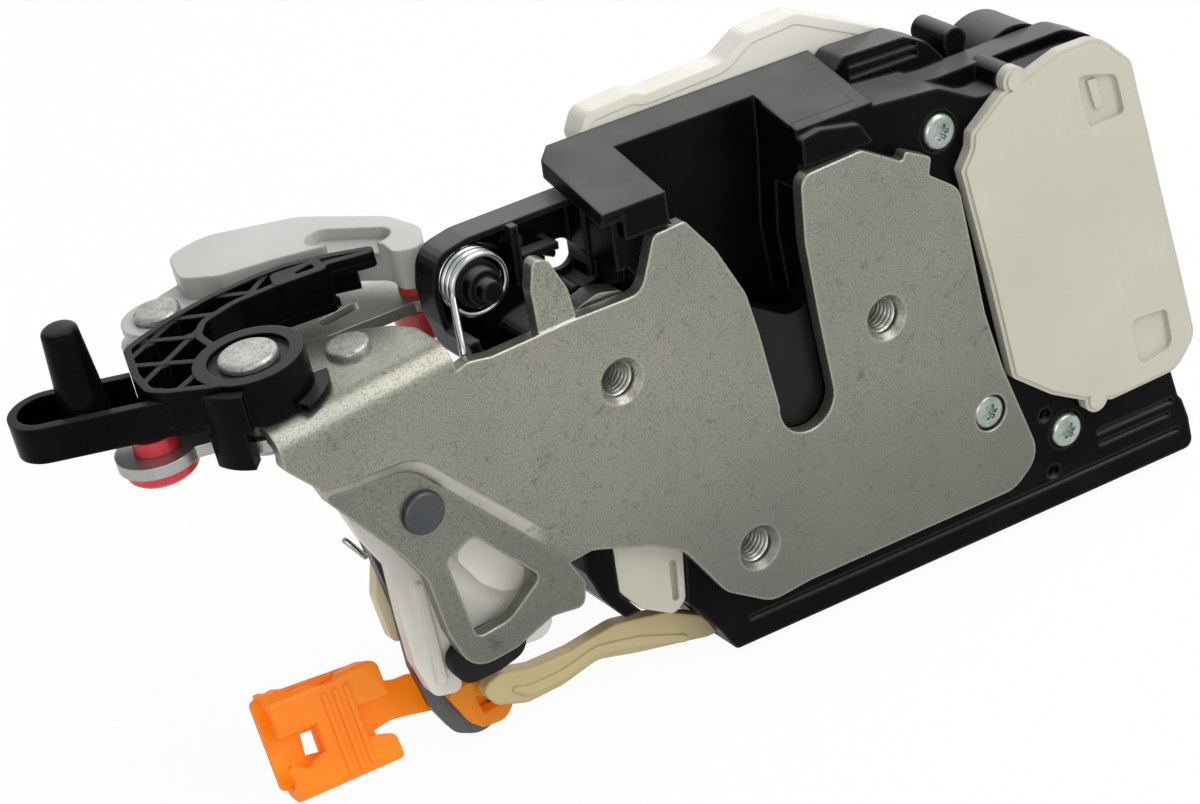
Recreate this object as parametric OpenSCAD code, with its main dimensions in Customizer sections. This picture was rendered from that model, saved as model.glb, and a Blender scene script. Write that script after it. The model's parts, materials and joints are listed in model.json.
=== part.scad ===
// Side door latch with its lock actuator: steel face plate, plastic latch housing,
// fork and pawl, release levers on a bent flange, lock linkage and motor drive.
// The plate's outer face lies on Y = 0 and looks along -Y. +Z runs out of the striker slot.
// The origin is the centre of the slot's round end.

/* [Face plate] */
// Thickness of the steel plate and its flange
plate_t = 2.5; // [2:0.1:2.6]
// Depth of the step down to the lock lever's lobe
step_depth = 2; // [1.5:0.1:2.2]
// Radius of the striker slot's closed end
slot_r = 5.4; // [5:0.1:5.6]
// Outer radius of the bend between plate and flange
bend_r = 4; // [3.5:0.1:4.5]
// Angle of the bend line across the plate
flange_tilt = 6.6; // [6:0.2:7]

/* [Mounting threads] */
// Radius of the mounting thread
thread_r = 3; // [2.9:0.05:3.1]
// Radius of the countersink at each mounting thread
sink_r = 4; // [3.8:0.1:4.2]
// Outside radius of the threaded collars
collar_r = 4.4; // [4.2:0.05:4.6]
// Radial running clearance of the levers on their pivots
pivot_gap = 0.05; // [0.03:0.01:0.08]

/* [Fork and pawl] */
// Radius of the fork's cam edge
fork_r = 28; // [27.6:0.1:28.2]
// Radius of the fork's throat
throat_r = 5.2; // [5:0.1:5.4]
// Thickness of the fork's steel core
fork_core_t = 4; // [3.6:0.1:4.2]
// Thickness of the plastic skin on the fork's front
fork_skin = 0.8; // [0.6:0.1:1]
// Gap between the pawl's tip and the fork's cam edge
pawl_gap = 0.3; // [0.2:0.05:0.5]
// Thickness of the pawl
pawl_t = 4; // [3.6:0.1:4.4]

/* [Latch housing] */
// Height of the mouth above the slot's round end, at the plate
mouth_top = 44.4; // [44:0.1:45]
// Angle at which the housing's top rises into the door
lid_rise = 14.6; // [13:0.2:15]
// Depth of the mouth's pocket behind the plate's face
mouth_depth = 13.8; // [13:0.2:14.4]
// Depth of the housing at the mouth
housing_depth = 19.4; // [19:0.2:20]
// Depth of the front shell
shell_depth = 17; // [16.5:0.5:17.5]
// Wall of the plastic mouldings
wall = 2; // [1.8:0.1:2.2]
// Level of the bottom rail's lower edge
rail_bottom = -40.4; // [-41.5:0.1:-40]

/* [Levers] */
// Radius of the release lever's hub
hub_r = 8.6; // [8.4:0.1:8.8]
// Height of the release lever
lever_h = 7.6; // [7:0.1:8]
// Height of the loop at the release lever's end
loop_h = 6; // [5.5:0.1:6.5]
// Width of the loop at the release lever's end
loop_w = 11.6; // [11:0.1:12.4]
// Height of the tapered post above the loop's floor
post_h = 18; // [16:0.5:20]
// Thickness of the ribs in the release lever's web
rib_t = 1.2; // [1:0.1:1.4]
// Thickness of the steel inside lever
strap_t = 2; // [1.8:0.1:2.2]
// Radius of the lever pivot's shank
shank_r = 3.5; // [3.3:0.1:3.7]
// Radius of the red bushings
bushing_r = 3.4; // [3.2:0.1:3.6]

/* [Lock linkage] */
// Thickness of the white lock lever
lock_t = 2.5; // [2.2:0.1:2.8]
// Radius of the lock pivot's shank
lock_shank_r = 2.5; // [2.3:0.1:2.7]
// Depth of the cream link
link_t = 2.8; // [2.4:0.1:3]
// Radius of the rod clip's hub
clip_hub_r = 4.4; // [4.2:0.1:4.6]
// Tilt of the hanging rod clip
clip_tilt = 26; // [24:1:28]

/* [Actuator] */
// Thickness of the off-white cover
cover_t = 2.5; // [2.3:0.1:2.5]
// Radius of the motor can
motor_r = 5.5; // [5.2:0.1:5.5]
// Number of teeth of the worm wheel
wheel_teeth = 28; // [28:1:28]
// Tooth size of the worm drive
worm_module = 0.7; // [0.69:0.01:0.71]
// Pitch radius of the worm
worm_r = 3.2; // [3.15:0.05:3.25]

/* [Springs and fasteners] */
// Radius of the torsion spring's wire
wire_r = 0.55; // [0.5:0.01:0.6]
// Mean radius of the torsion spring's coil
coil_r = 4.75; // [4.65:0.05:4.8]
// Number of turns of the torsion spring
coil_turns = 5; // [4:1:5]
// Radius of the star-recess screw heads
screw_head_r = 3.1; // [2.9:0.1:3.2]

/* [Hidden] */
$fn = 48;

// Places of the three threaded collars, as [x, z]
pawl_pivot = [-33.6, 16.2];
fork_pivot = [17, 8.7];
free_collar = [-12.2, -22.3];
collar_end = plate_t + 6.3;
pocket_floor = collar_end + 0.3;
lock_pivot = [-70.3, 6.9];
spring_post = [-51.8, 36.9];

// Unit vector, and the sum of two lists' items turned into points on an arc
function unit(v) = v / norm(v);
function arc(c, r, a0, a1, n = 12) = [for (i = [0:n]) let (a = a0 + (a1 - a0) * i / n) c + r * [cos(a), sin(a)]];
function turned(p, a) = [p[0] * cos(a) - p[1] * sin(a), p[0] * sin(a) + p[1] * cos(a)];
function short_way(a) = a > 180 ? a - 360 : a < -180 ? a + 360 : a;

// Corners given as [x, z, radius] become an outline whose corners are tangent arcs
function corner(before, here, after, r, n) =
    let (a = unit(before - here), b = unit(after - here))
    let (half = acos(max(-1, min(1, a * b))) / 2)
    (r <= 0 || half > 88) ? [here] :
    let (d = min(r / tan(half), 0.48 * norm(before - here), 0.48 * norm(after - here)))
    let (rr = d * tan(half), c = here + unit(a + b) * rr / sin(half))
    let (s = here + a * d - c, e = here + b * d - c)
    let (a0 = atan2(s[1], s[0]), sweep = short_way(atan2(e[1], e[0]) - a0))
    [for (i = [0:n]) c + rr * [cos(a0 + sweep * i / n), sin(a0 + sweep * i / n)]];
function xy(p) = [p[0], p[1]];
function rounded(pts, n = 5) = [
    for (i = [0:len(pts) - 1])
    let (k = len(pts), here = pts[i])
    each corner(xy(pts[(i + k - 1) % k]), xy(here), xy(pts[(i + 1) % k]), len(here) > 2 ? here[2] : 0, n)
];

// A flat outline in X and Z becomes a solid from Y = y0 to y0 + t
module slab(y0, t) {
    translate([0, y0 + t, 0]) rotate([90, 0, 0]) linear_extrude(t) children();
}
module y_rod(place, y0, length, r) {
    translate([place[0], y0, place[1]]) rotate([-90, 0, 0]) cylinder(h = length, r = r);
}
module y_cone(place, y0, length, r1, r2) {
    translate([place[0], y0, place[1]]) rotate([-90, 0, 0]) cylinder(h = length, r1 = r1, r2 = r2);
}
module at_flat(place) {
    translate([place[0], place[1]]) children();
}
module bar2d(a, b, w) {
    d = unit(b - a);
    s = [-d[1], d[0]] * w / 2;
    polygon([a + s, b + s, b - s, a - s]);
}
module capsule2d(a, b, r) {
    bar2d(a, b, 2 * r);
    at_flat(a) circle(r);
    at_flat(b) circle(r);
}

// Frame of the flange: x along the bend, y into the depth, z square to the flange
flange_origin = [-77, 0, 31];
module flange_frame() {
    translate(flange_origin) rotate([0, -flange_tilt, 0]) children();
}
lever_pivot = [-12, 11.6];
key_pivot = [-12, 44.5];
inside_level = -plate_t - 0.4 - strap_t;
lever_floor = 0.4;
lever_top = lever_floor + lever_h;

// A wire is swept along its points with a round section
function frame_x(d) = unit(cross(d, abs(d[1]) < 0.9 ? [0, 1, 0] : [1, 0, 0]));
function wire_dir(p, i) = unit(p[min(i + 1, len(p) - 1)] - p[max(i - 1, 0)]);
module wire(points, r, sides = 8) {
    rings = [
        for (i = [0:len(points) - 1])
        let (d = wire_dir(points, i), u = frame_x(d), v = cross(d, u))
        [for (k = [0:sides - 1]) points[i] + r * (cos(360 * k / sides) * u + sin(360 * k / sides) * v)]
    ];
    last = len(points) - 1;
    polyhedron(
        points = [for (ring = rings) each ring],
        faces = concat(
            [[for (k = [0:sides - 1]) k]],
            [for (i = [0:last - 1], k = [0:sides - 1]) let (n = (k + 1) % sides)
                [i * sides + k, (i + 1) * sides + k, (i + 1) * sides + n, i * sides + n]],
            [[for (k = [sides - 1:-1:0]) last * sides + k]]
        )
    );
}

// Outlines of the face plate
plate_left = 16;
plate_right_end = 14.8;
function bend_line(u) = let (t = flange_tilt, w = -bend_r - 0.3)
    [flange_origin[0] + u * cos(t) - w * sin(t), flange_origin[2] + u * sin(t) + w * cos(t)];
step_top = [[-87.2, 18, 1.5], [-82.9, 17.6, 2], [-70.6, 17.6, 8], [-43.3, -10.2, 0.6]];
lobe_top = [[-86.3, 15.4, 1.5], [-82.6, 15, 2], [-71.2, 14.6, 7], [-46.2, -11.9, 0.6]];
slot_round = [for (p = arc([0, 0], slot_r, 12, -190, 16)) [p[0], p[1]]];
plate_outline = concat(
    [bend_line(-plate_left), [-92.5, 23.5, 2]], step_top,
    [[-41.4, -10.7, 1], [-32, -14, 8], [-26.2, -17.4, 3], [-19.5, -27.6, 6], [-11, -32.9, 6],
     [-3, -32.1, 8], [39.8, -32, 6], [45.6, -27.5, 6], [39.4, -9, 12], [36.6, 2.5],
     [33.6, 26.2, 4], [27.9, 30.4, 0.6], [28.6, 33.4, 0.8], [23.6, 36, 0.8], [23.2, 34.3, 0.6],
     [15.4, 38.9, 2], [3.4, 38.3, 2.4], [2.9, 27], [4, 13.4]],
    slot_round,
    [[-6.4, 7.5], [-7.6, 15], [-9.2, 22.6, 8], [-13.9, 32, 8], [-18.7, 38.4, 0.8], [-24.6, 38, 1.2],
     [-28, 29.4, 3], [-40.4, 29.4], [-55.4, 28.6, 4], [-59.5, 29.2, 3], bend_line(plate_right_end)]
);
lobe_outline = concat(
    lobe_top,
    [[-43.9, -16.4, 1.2], [-44.6, -20.6, 1.6], [-50.6, -19.9, 2], [-57.8, -22.7, 5], [-66, -23.6, 6],
     [-69.2, -15.5, 6], [-71.2, -5, 5], [-75.2, 1.4, 3]]
);
lobe_window = [[-67.6, -2.9, 1.4], [-62.4, -0.5, 1.6], [-51.6, -12.2, 1.4], [-58.2, -17.4, 6], [-64.4, -18.2, 1.6]];

// The step between plate and lobe is a ruled band between two outlines.
// Its two inner ridges reach into the plate and the lobe so that they join.
module step_band() {
    top = [for (p = rounded(concat([[-92.5, 23.5]], step_top, [[-41.4, -10.7]]))) [p[0], 0, p[1]]];
    low = [for (p = rounded(concat([[-75.2, 1.4]], lobe_top, [[-43.9, -16.4]]))) [p[0], step_depth, p[1]]];
    back = [0, plate_t, 0];
    first = 1;
    m = min(len(top), len(low)) - 2 - first;
    rows = [
        for (k = [0:m]) let (t = top[first + k], l = low[first + k])
        each [t, l, l + back / 2 + [0.4 - 0.5 * k / m, 0, -0.4], l + back, t + back, t + back / 2 + [0.1, 0, 0.4]]
    ];
    polyhedron(
        points = rows,
        faces = concat(
            [[0, 1, 3, 4], [1, 2, 3], [4, 5, 0]],
            [for (i = [0:m - 1], k = [0:5]) let (j = (k + 1) % 6) [6 * i + k, 6 * i + 6 + k, 6 * i + 6 + j, 6 * i + j]],
            [[6 * m + 4, 6 * m + 3, 6 * m + 1, 6 * m], [6 * m + 3, 6 * m + 2, 6 * m + 1], [6 * m, 6 * m + 5, 6 * m + 4]]
        )
    );
}

flange_outline = [
    [-plate_left, bend_r, 0], [-15.2, 6.4, 1], [-17.4, 8.2, 2], [-18.2, 13, 4], [-19.5, 20, 3],
    [-19.5, 38, 4], [-18.5, 50.6, 6], [-5.5, 50.6, 6], [-4.5, 38, 5], [-2, 24, 6], [3.1, 20.9, 3],
    [8.7, 17.6, 3], [12.6, 14, 3], [plate_right_end, 10, 3], [plate_right_end, bend_r, 0]
];

module threaded_collar(place) {
    y_rod(place, plate_t - 0.01, collar_end - plate_t + 0.01, collar_r);
}
module threaded_cut(place) {
    y_rod(place, -1, collar_end + 2, thread_r);
    y_cone(place, -0.01, 1.1, sink_r + 0.01, thread_r - 0.05);
}
tab_outline = [
    [-46.6, 27.5], [-47, 36.5, 4], [-46, 41.3, 1.6], [-43.4, 40.4, 2], [-40.6, 34.5, 3], [-39.6, 27.5]
];
tab_back = plate_t + 0.4;
module plate_tab() {
    slab(tab_back - plate_t, plate_t) polygon(rounded(tab_outline));
}
module flange_bend() {
    flange_frame() translate([-plate_left, bend_r, -bend_r]) rotate([90, 0, 90])
        linear_extrude(plate_left + plate_right_end) intersection() {
            difference() {
                circle(bend_r);
                circle(bend_r - plate_t);
            }
            translate([-bend_r, 0]) square(bend_r);
        }
    flange_frame() translate([-plate_left, 0, -bend_r - 1]) cube([plate_left + plate_right_end, plate_t, 1]);
}
module face_plate() {
    color("silver") difference() {
        union() {
            slab(0, plate_t) polygon(rounded(plate_outline));
            difference() {
                slab(step_depth, plate_t) polygon(rounded(lobe_outline));
                slab(step_depth - 1, plate_t + 2) polygon(rounded(lobe_window));
            }
            step_band();
            plate_tab();
            flange_bend();
            flange_frame() translate([0, 0, -plate_t]) linear_extrude(plate_t) polygon(rounded(flange_outline));
            threaded_collar(pawl_pivot);
            threaded_collar(fork_pivot);
            threaded_collar(free_collar);
        }
        threaded_cut(pawl_pivot);
        threaded_cut(fork_pivot);
        threaded_cut(free_collar);
        y_rod(lock_pivot, 0, 8, lock_shank_r);
        y_rod(plate_screw, -1, 6, screw_shank_r + 0.1);
        y_rod(plate_screw, -1, 1 + plate_seat, screw_head_r + 0.15);
        flange_frame() {
            translate([lever_pivot[0], lever_pivot[1], -5]) cylinder(h = 8, r = shank_r);
            translate([key_pivot[0], key_pivot[1], -5]) cylinder(h = 8, r = key_shank_r);
            translate([flange_rivet_place[0], flange_rivet_place[1], -5]) cylinder(h = 8, r = rivet_shank_r);
        }
    }
}

// Rivets
rivet_head_t = 1.2;
rivet_shank_r = 2;
key_shank_r = 2.2;
flange_rivet_place = [4.6, 13.6];
// A domed rivet head on the plane z = 0
module dome_head(r, t) {
    rotate_extrude() polygon(concat([[0, 0], [r, 0], [r, t * 0.45]], arc([r - t * 0.55, t * 0.45], t * 0.55, 0, 90, 4), [[0, t]]));
}
lock_stack_end = 19.3;
module lock_pivot_rivet() {
    color("lightslategray") {
        translate([lock_pivot[0], step_depth, lock_pivot[1]]) rotate([90, 0, 0]) dome_head(3.6, rivet_head_t);
        y_rod(lock_pivot, step_depth, lock_stack_end - step_depth, lock_shank_r);
        translate([lock_pivot[0], lock_stack_end, lock_pivot[1]]) rotate([-90, 0, 0]) dome_head(3.8, 1.4);
    }
}
module flange_rivet() {
    color("silver") flange_frame() translate([flange_rivet_place[0], flange_rivet_place[1], 0]) {
        dome_head(3.6, rivet_head_t);
        translate([0, 0, -plate_t]) cylinder(h = plate_t, r = rivet_shank_r);
        translate([0, 0, -plate_t]) rotate([180, 0, 0]) dome_head(3, 0.8);
    }
}
module lever_pivot_rivet() {
    color("silver") flange_frame() translate([lever_pivot[0], lever_pivot[1], 0]) {
        translate([0, 0, lever_top - 0.7]) dome_head(4.7, 1.3);
        translate([0, 0, inside_level - 0.6]) cylinder(h = lever_top - 0.7 - inside_level + 0.8, r = shank_r);
        translate([0, 0, inside_level - 0.4]) rotate([180, 0, 0]) dome_head(5.2, 1.6);
    }
}
module key_pivot_rivet() {
    color("silver") flange_frame() translate([key_pivot[0], key_pivot[1], 0]) {
        translate([0, 0, key_floor + key_hub_h + 0.2]) dome_head(3.8, 1.1);
        translate([0, 0, -plate_t]) cylinder(h = plate_t + key_floor + key_hub_h + 0.2, r = key_shank_r);
        translate([0, 0, -plate_t]) rotate([180, 0, 0]) dome_head(3.6, 1);
    }
}

// Black release lever on the flange, as seen along its pivot
web_outline = [
    [-18, 5.6, 2], [-25.8, 12.8, 2], [-27.6, 15.8, 3], [-26.8, 22, 6], [-23.8, 31, 3], [-15, 33.7, 6], [-7, 34.4, 8],
    [1.5, 33.7, 8], [6, 32.6, 5], [12.5, 28.9, 4], [17.9, 24.9, 1.2], [17, 22.9, 1], [10.2, 26, 0.6],
    [9.3, 25, 0.8], [1.2, 27.1, 1], [-5.3, 28, 6], [-11, 27, 3], [-13.4, 24, 3], [-13.4, 19, 2]
];
loop_end = [-39.3, 28];
module grown(points, w) {
    offset(delta = w) polygon(points);
}
module web_ribs() {
    step = 7.4;
    for (k = [-4:4]) {
        a = [-8 + k * step, 24];
        bar2d(a - 40 * [cos(62), sin(62)], a + 40 * [cos(62), sin(62)], rib_t);
        bar2d(a - 40 * [cos(152), sin(152)] + [0, 3], a + 40 * [cos(152), sin(152)] + [0, 3], rib_t);
    }
}
module outside_lever() {
    loop_in = loop_w / 2 - 1.5;
    web = rounded(web_outline);
    color([0.1, 0.1, 0.11]) flange_frame() difference() {
        union() {
            translate([lever_pivot[0], lever_pivot[1], lever_floor]) cylinder(h = lever_h, r = hub_r);
            translate([0, 0, lever_floor]) linear_extrude(1.5) polygon(web);
            translate([0, 0, lever_floor]) linear_extrude(lever_h) difference() {
                polygon(web);
                grown(web, -rib_t);
            }
            translate([0, 0, lever_floor]) linear_extrude(lever_h - 0.4) intersection() {
                grown(web, -rib_t / 2);
                web_ribs();
            }
            translate([0, 0, lever_floor]) linear_extrude(lever_h) polygon(rounded([
                [1.2, 27.1, 1], [9.3, 25, 0.8], [10.4, 29, 1], [2.6, 31.4, 1]
            ]));
            translate([0, 0, lever_floor]) linear_extrude(loop_h) capsule2d(lever_pivot, loop_end, loop_w / 2);
            lever_lip();
            lever_finger();
        }
        translate([0, 0, lever_floor + 1.5]) linear_extrude(loop_h) difference() {
            capsule2d(lever_pivot, loop_end, loop_in);
            at_flat(lever_pivot) circle(hub_r);
        }
        translate([lever_pivot[0], lever_pivot[1], -1]) {
            cylinder(h = lever_h + 3, r = shank_r + pivot_gap);
            translate([0, 0, lever_top + 1 - 0.8]) cylinder(h = 2, r = 6.4);
        }
        translate([0, 0, lever_top - 2.5]) linear_extrude(4) polygon(rounded([[3.4, 28.2, 0.5], [8.4, 26.8, 0.5], [8.8, 28.6, 0.5]]));
    }
    color([0.1, 0.1, 0.11]) flange_frame() loop_post();
}
// Thin lip at the foot of the hub and the finger that hangs beside the flange's edge
module lever_lip() {
    translate([lever_pivot[0], lever_pivot[1], lever_floor]) linear_extrude(1.1)
        polygon(concat([[0, 0]], arc([0, 0], hub_r + 2.2, -74, -14, 8)));
}
module lever_finger() {
    translate([lever_pivot[0], lever_pivot[1], finger_bottom]) linear_extrude(lever_floor - finger_bottom + 6)
        polygon(concat(arc([0, 0], hub_r + 1.6, 188, 228, 8), arc([0, 0], 7.3, 228, 188, 8)));
    translate([lever_pivot[0], lever_pivot[1], lever_floor]) linear_extrude(6.4)
        polygon(concat(arc([0, 0], hub_r + 1.6, 168, 234, 10), [[0, 0]]));
}
finger_bottom = -5.8;
loop_post_place = lever_pivot + 25 * unit(loop_end - lever_pivot) - [0.9, 0];
module loop_post() {
    translate([loop_post_place[0], loop_post_place[1], lever_floor + 1.2]) rotate_extrude() polygon(concat(
        [[0, 0], [4.2, 0], [4, 1.4], [2.9, post_h - 1]], arc([1.9, post_h - 1], 1, 0, 90, 4), [[0, post_h]]
    ));
}

// Steel lever under the flange with an eye at each end
left_eye = [-27.4, 19];
right_eye = [24.4, 26];
module strap(extra = 0) {
    translate([0, 0, inside_level - extra]) linear_extrude(strap_t + 2 * extra) children();
}
module inside_lever() {
    color("gainsboro") flange_frame() difference() {
        union() {
            strap() at_flat(lever_pivot) circle(7);
            strap() bar2d(left_eye, lever_pivot, 6.4);
            strap() at_flat(left_eye) circle(6.6);
            strap() at_flat(right_eye) circle(5);
            strap() polygon(rounded([
                [-8, 6, 3], [-2, 20, 4], [5.6, 25.4, 3], [20, 22.6, 3], [26, 21.2, 4], [29.6, 27, 4],
                [25, 33, 5], [19, 37, 3], [14, 36.6, 4], [2, 32, 6], [-17, 16, 3]
            ]));
        }
        strap(1) at_flat(lever_pivot) circle(shank_r + pivot_gap);
        strap(1) at_flat(left_eye) circle(bushing_neck_r);
        strap(1) at_flat(right_eye) circle(bushing_neck_r);
        strap(1) polygon(rounded([[7.7, 28.2, 1], [15.3, 28.6, 1], [15.3, 31.2, 1], [7.7, 30.9, 1]]));
    }
}
bushing_neck_r = 2.6;
rod_hole_r = 1.55;
// Red snap-in bushing: head under the lever, neck through it, collar above
module bushing(place, head_t, collar_t) {
    flange_frame() translate([place[0], place[1], inside_level]) difference() {
        rotate_extrude() polygon([
            [0, -head_t], [bushing_r + 1.6, -head_t], [bushing_r + 2.2, -head_t + 0.6], [bushing_r + 2.2, -0.05],
            [bushing_neck_r, -0.05], [bushing_neck_r, strap_t + 0.05], [bushing_r + 0.2, strap_t + 0.05],
            [bushing_r, strap_t + collar_t], [0, strap_t + collar_t]
        ]);
        translate([0, 0, -20]) cylinder(h = 40, r = rod_hole_r);
    }
}
module left_bushing() {
    color("crimson") bushing(left_eye, 2.4, 2.4);
}
module right_bushing() {
    color("crimson") bushing(right_eye, 5, 2.9);
}

// Translucent key lever behind the release lever
key_floor = 0.3;
key_hub_h = 3;
key_top = 7.2;
module key_lever() {
    color([0.93, 0.94, 0.93, 0.85]) flange_frame() difference() {
        union() {
            translate([key_pivot[0], key_pivot[1], key_floor]) cylinder(h = key_hub_h, r = 6);
            translate([0, 0, key_floor]) linear_extrude(key_hub_h) polygon(rounded([
                [-15, 40.2, 2], [-3, 40.6, 2], [2, 42, 2], [1, 52, 3], [-10, 50, 4]
            ]));
            translate([0, 0, key_floor]) linear_extrude(key_top - key_floor) polygon(rounded([
                [-6.6, 45, 3], [-2, 40, 4], [6, 37, 5], [15, 32.6, 6], [20, 26, 4], [19.4, 21.4, 2], [23.4, 18.6, 3],
                [26.6, 25, 5], [25, 33, 7], [16, 46, 8], [3, 54.4, 7], [-4.4, 53.8, 4]
            ]));
        }
        translate([key_pivot[0], key_pivot[1], -2]) cylinder(h = 14, r = key_shank_r + pivot_gap);
        translate([key_pivot[0], key_pivot[1], key_floor + key_hub_h]) cylinder(h = 9, r = 4.4);
        translate([0, 0, key_top - 2]) linear_extrude(3) capsule2d([14.6, 36.4], [20.4, 29], 2.6);
        translate([0, 0, key_floor - 1]) linear_extrude(key_top - key_floor - 1.2) polygon(rounded([
            [-3, 43.6, 2], [2, 40.6, 3], [15.5, 35, 4], [22, 26, 3], [24, 27, 3], [23.5, 32, 5], [15, 44.4, 6], [3, 51.6, 5]
        ]));
    }
}

// Fork in its open place, drawn round its own pivot
open_throat = turned([-17, -8.7], -62);
fork_hub_r = 10;
leg_out = [cos(150), sin(150)];
leg_start = open_throat + throat_r * [cos(240), sin(240)];
leg_reach = let (b = leg_start * leg_out, c = leg_start * leg_start - fork_r * fork_r) -b + sqrt(b * b - c);
leg_tip = leg_start + leg_reach * leg_out;
hook_start = open_throat + throat_r * [cos(5), sin(5)];
function fork_outline() = concat(
    arc([0, 0], fork_hub_r, -95, 40, 12),
    [[1.5, 22.5], [-2.5, 24.8]],
    arc([0, 0], 25, 98, 115, 4),
    [hook_start],
    arc(open_throat, throat_r, 0, -115, 12),
    [leg_start],
    arc([0, 0], fork_r, atan2(leg_tip[1], leg_tip[0]), 232, 16),
    arc([0, 0], fork_r - 3.5, 236, 240, 2),
    [[-6, -13]]
);
function core_outline() = concat(
    arc([0, 0], fork_hub_r - 2, -95, 40, 12),
    [[-2, 20], [-5.5, 22.4]],
    arc(open_throat, throat_r + 1.6, 8, -115, 12),
    arc([0, 0], fork_r - 1.8, 163, 226, 14),
    [[-7, -11]]
);
fork_front = plate_t + 0.5;
core_front = fork_front + fork_skin;
fork_back = core_front + fork_core_t + 0.4;
module fork_core() {
    color("silver") difference() {
        union() {
            slab(core_front, fork_core_t) at_flat(fork_pivot) polygon(core_outline());
            y_rod(fork_pivot, fork_front + 0.1, fork_back - fork_front - 0.1, 7);
        }
        y_rod(fork_pivot, 0, 20, collar_r + pivot_gap);
    }
}
module fork_jacket() {
    color([0.07, 0.07, 0.08]) difference() {
        slab(fork_front, fork_back - fork_front) at_flat(fork_pivot) polygon(fork_outline());
        slab(core_front, fork_core_t) at_flat(fork_pivot) polygon(core_outline());
        y_rod(fork_pivot, 0, 20, 7);
    }
}

// Pawl, held off the fork's cam edge
pawl_front = plate_t + 0.6;
module pawl() {
    color("gainsboro") difference() {
        union() {
            y_rod(pawl_pivot, pawl_front, pawl_t, 8);
            slab(pawl_front, pawl_t)
                polygon(rounded([[-27, 19, 2], [-8.2, -2.2, 1.5], [-3.4, -9.4], [-8.6, -12, 1.5], [-30, 8, 3], [-40, 12, 3], [-40, 20]]));
            slab(pawl_front, pawl_t)
                polygon(rounded([[-40.6, 18, 3], [-38.9, 29, 3], [-34, 30.6, 4], [-29.4, 29.4, 1.5], [-26.6, 18, 3]]));
        }
        y_rod(fork_pivot, 0, 20, fork_r + pawl_gap);
        y_rod(pawl_pivot, 0, 20, collar_r + pivot_gap);
    }
}

// Front shell of the latch housing with mouth, spring post and actuator tray
shell_outline = [
    [-46, 26, 3], [-46.5, 8, 3], [-43.4, -8, 2], [-43.4, -15.4, 1], [-41, -21.2, 1], [-37.4, -26, 1],
    [-34, -26, 1], [-31.5, -20.5, 2], [-25.2, -28.7, 1], [-20, -35.8, 0.8], [-17.4, rail_bottom, 1.2],
    [80.9, rail_bottom, 1.6], [80.2, -34.5, 3], [79, -30.6, 1.4], [78.1, -29.4, 0.8], [76.6, -23, 2],
    [77, -14], [74.6, 0], [70.6, 26, 6], [67.4, 40.2, 7], [52, 40.2, 4], [41, 38.8, 6], [33, 43.2, 5],
    [20, mouth_top, 1], [9, mouth_top], [-17.5, mouth_top], [-30.4, mouth_top, 1], [-30.4, 30, 1]
];
wing_outline = [
    [-30, 43.9, 0.5], [-51.2, 43.7, 5], [-57.4, 42.4, 5], [-58.4, 36.6, 3], [-57.6, 31, 3],
    [-55.6, 24.6, 3], [-45, 19, 2], [-30, 19]
];
wing_back = 16;
wing_floor = 1.2;
coil_front = 8.2;
coil_pitch = 2 * wire_r + 0.04;
tray_outline = [
    [41, 32.5, 2], [47, 36.6, 2], [54, 38.2, 3], [64, 38.2, 5], [67.4, 30, 4], [69.4, 20], [74.6, -12, 3],
    [72, -18.4, 4], [60, -19.4, 2], [50, -14.5, 3], [44.4, -9, 2], [41.8, 10]
];
mouth_outline = concat(
    [[5.4, 70], [5, 40], [3.8, 26]],
    [for (p = arc([0, 0], slot_r + 0.6, 5, -185, 16)) p],
    [[-8, 15], [-10.2, 23], [-15, 32.4], [-21.4, 39.4], [-22.2, 70]]
);
// Everything above the sloping top of the housing, which rises into the door
module above_lid(lift = 0) {
    translate([-80, 0, mouth_top + lift]) rotate([lid_rise, 0, 0]) translate([0, -60, 0]) cube([220, 160, 60]);
}
screw_shank_r = 1.7;
screw_seat = 3.2;
screw_places = [[32.2, 35.9], [53.2, -26.6]];
plate_screw = [36.1, -16];
// Height of the screws' heads, and the seat that sinks one flush with the plate
screw_head_h = 1.75;
plate_seat = screw_head_h + 0.05;
fork_pocket = concat(
    [[0, 0], [9.4, 6.6], [3.2, 23.8], [-2, 26.4]], arc([0, 0], fork_r + 0.8, 106, 297, 24),
    [turned([25.4, 0], -56), turned([15.4, 0], -48), turned([11.2, 0], -30)]
);

module mechanism_pocket() {
    slab(plate_t - 1, pocket_floor - plate_t + 1) {
        at_flat(fork_pivot) {
            polygon(fork_pocket);
            circle(fork_hub_r + 1.2);
        }
        at_flat(pawl_pivot) circle(9.4);
        polygon([[-43.6, 12], [-43, 33], [-28.5, 33], [-6, 2], [-3, -12], [-13.5, -17.4], [-30.5, 3], [-40, 8]]);
    }
}
module striker_channel() {
    slab(-1, mouth_depth + 1) polygon(mouth_outline);
}
module actuator_tray() {
    slab(-1, tray_floor + 1) polygon(rounded(tray_outline));
}
tray_floor = 14.2;
module shell_ribs() {
    // stiffening ribs on the shell's back and along the rail
    for (x = [-8:12:76]) translate([x, shell_depth - 6, rail_bottom + 1]) cube([1.2, 6, 7]);
}
module rail_grooves() {
    translate([-14, plate_t - 1, -36.4]) cube([92, 1.7, 0.9]);
    translate([60, plate_t - 1, -30.4]) cube([17, 2.4, 1]);
    translate([60.4, plate_t - 1, -32.7]) cube([15.6, 1.8, 0.8]);
}
module link_channel() {
    translate([-60, link_front - 0.7, -39.2]) cube([link_right + 68, link_t + 1, 11.2]);
}
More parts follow.
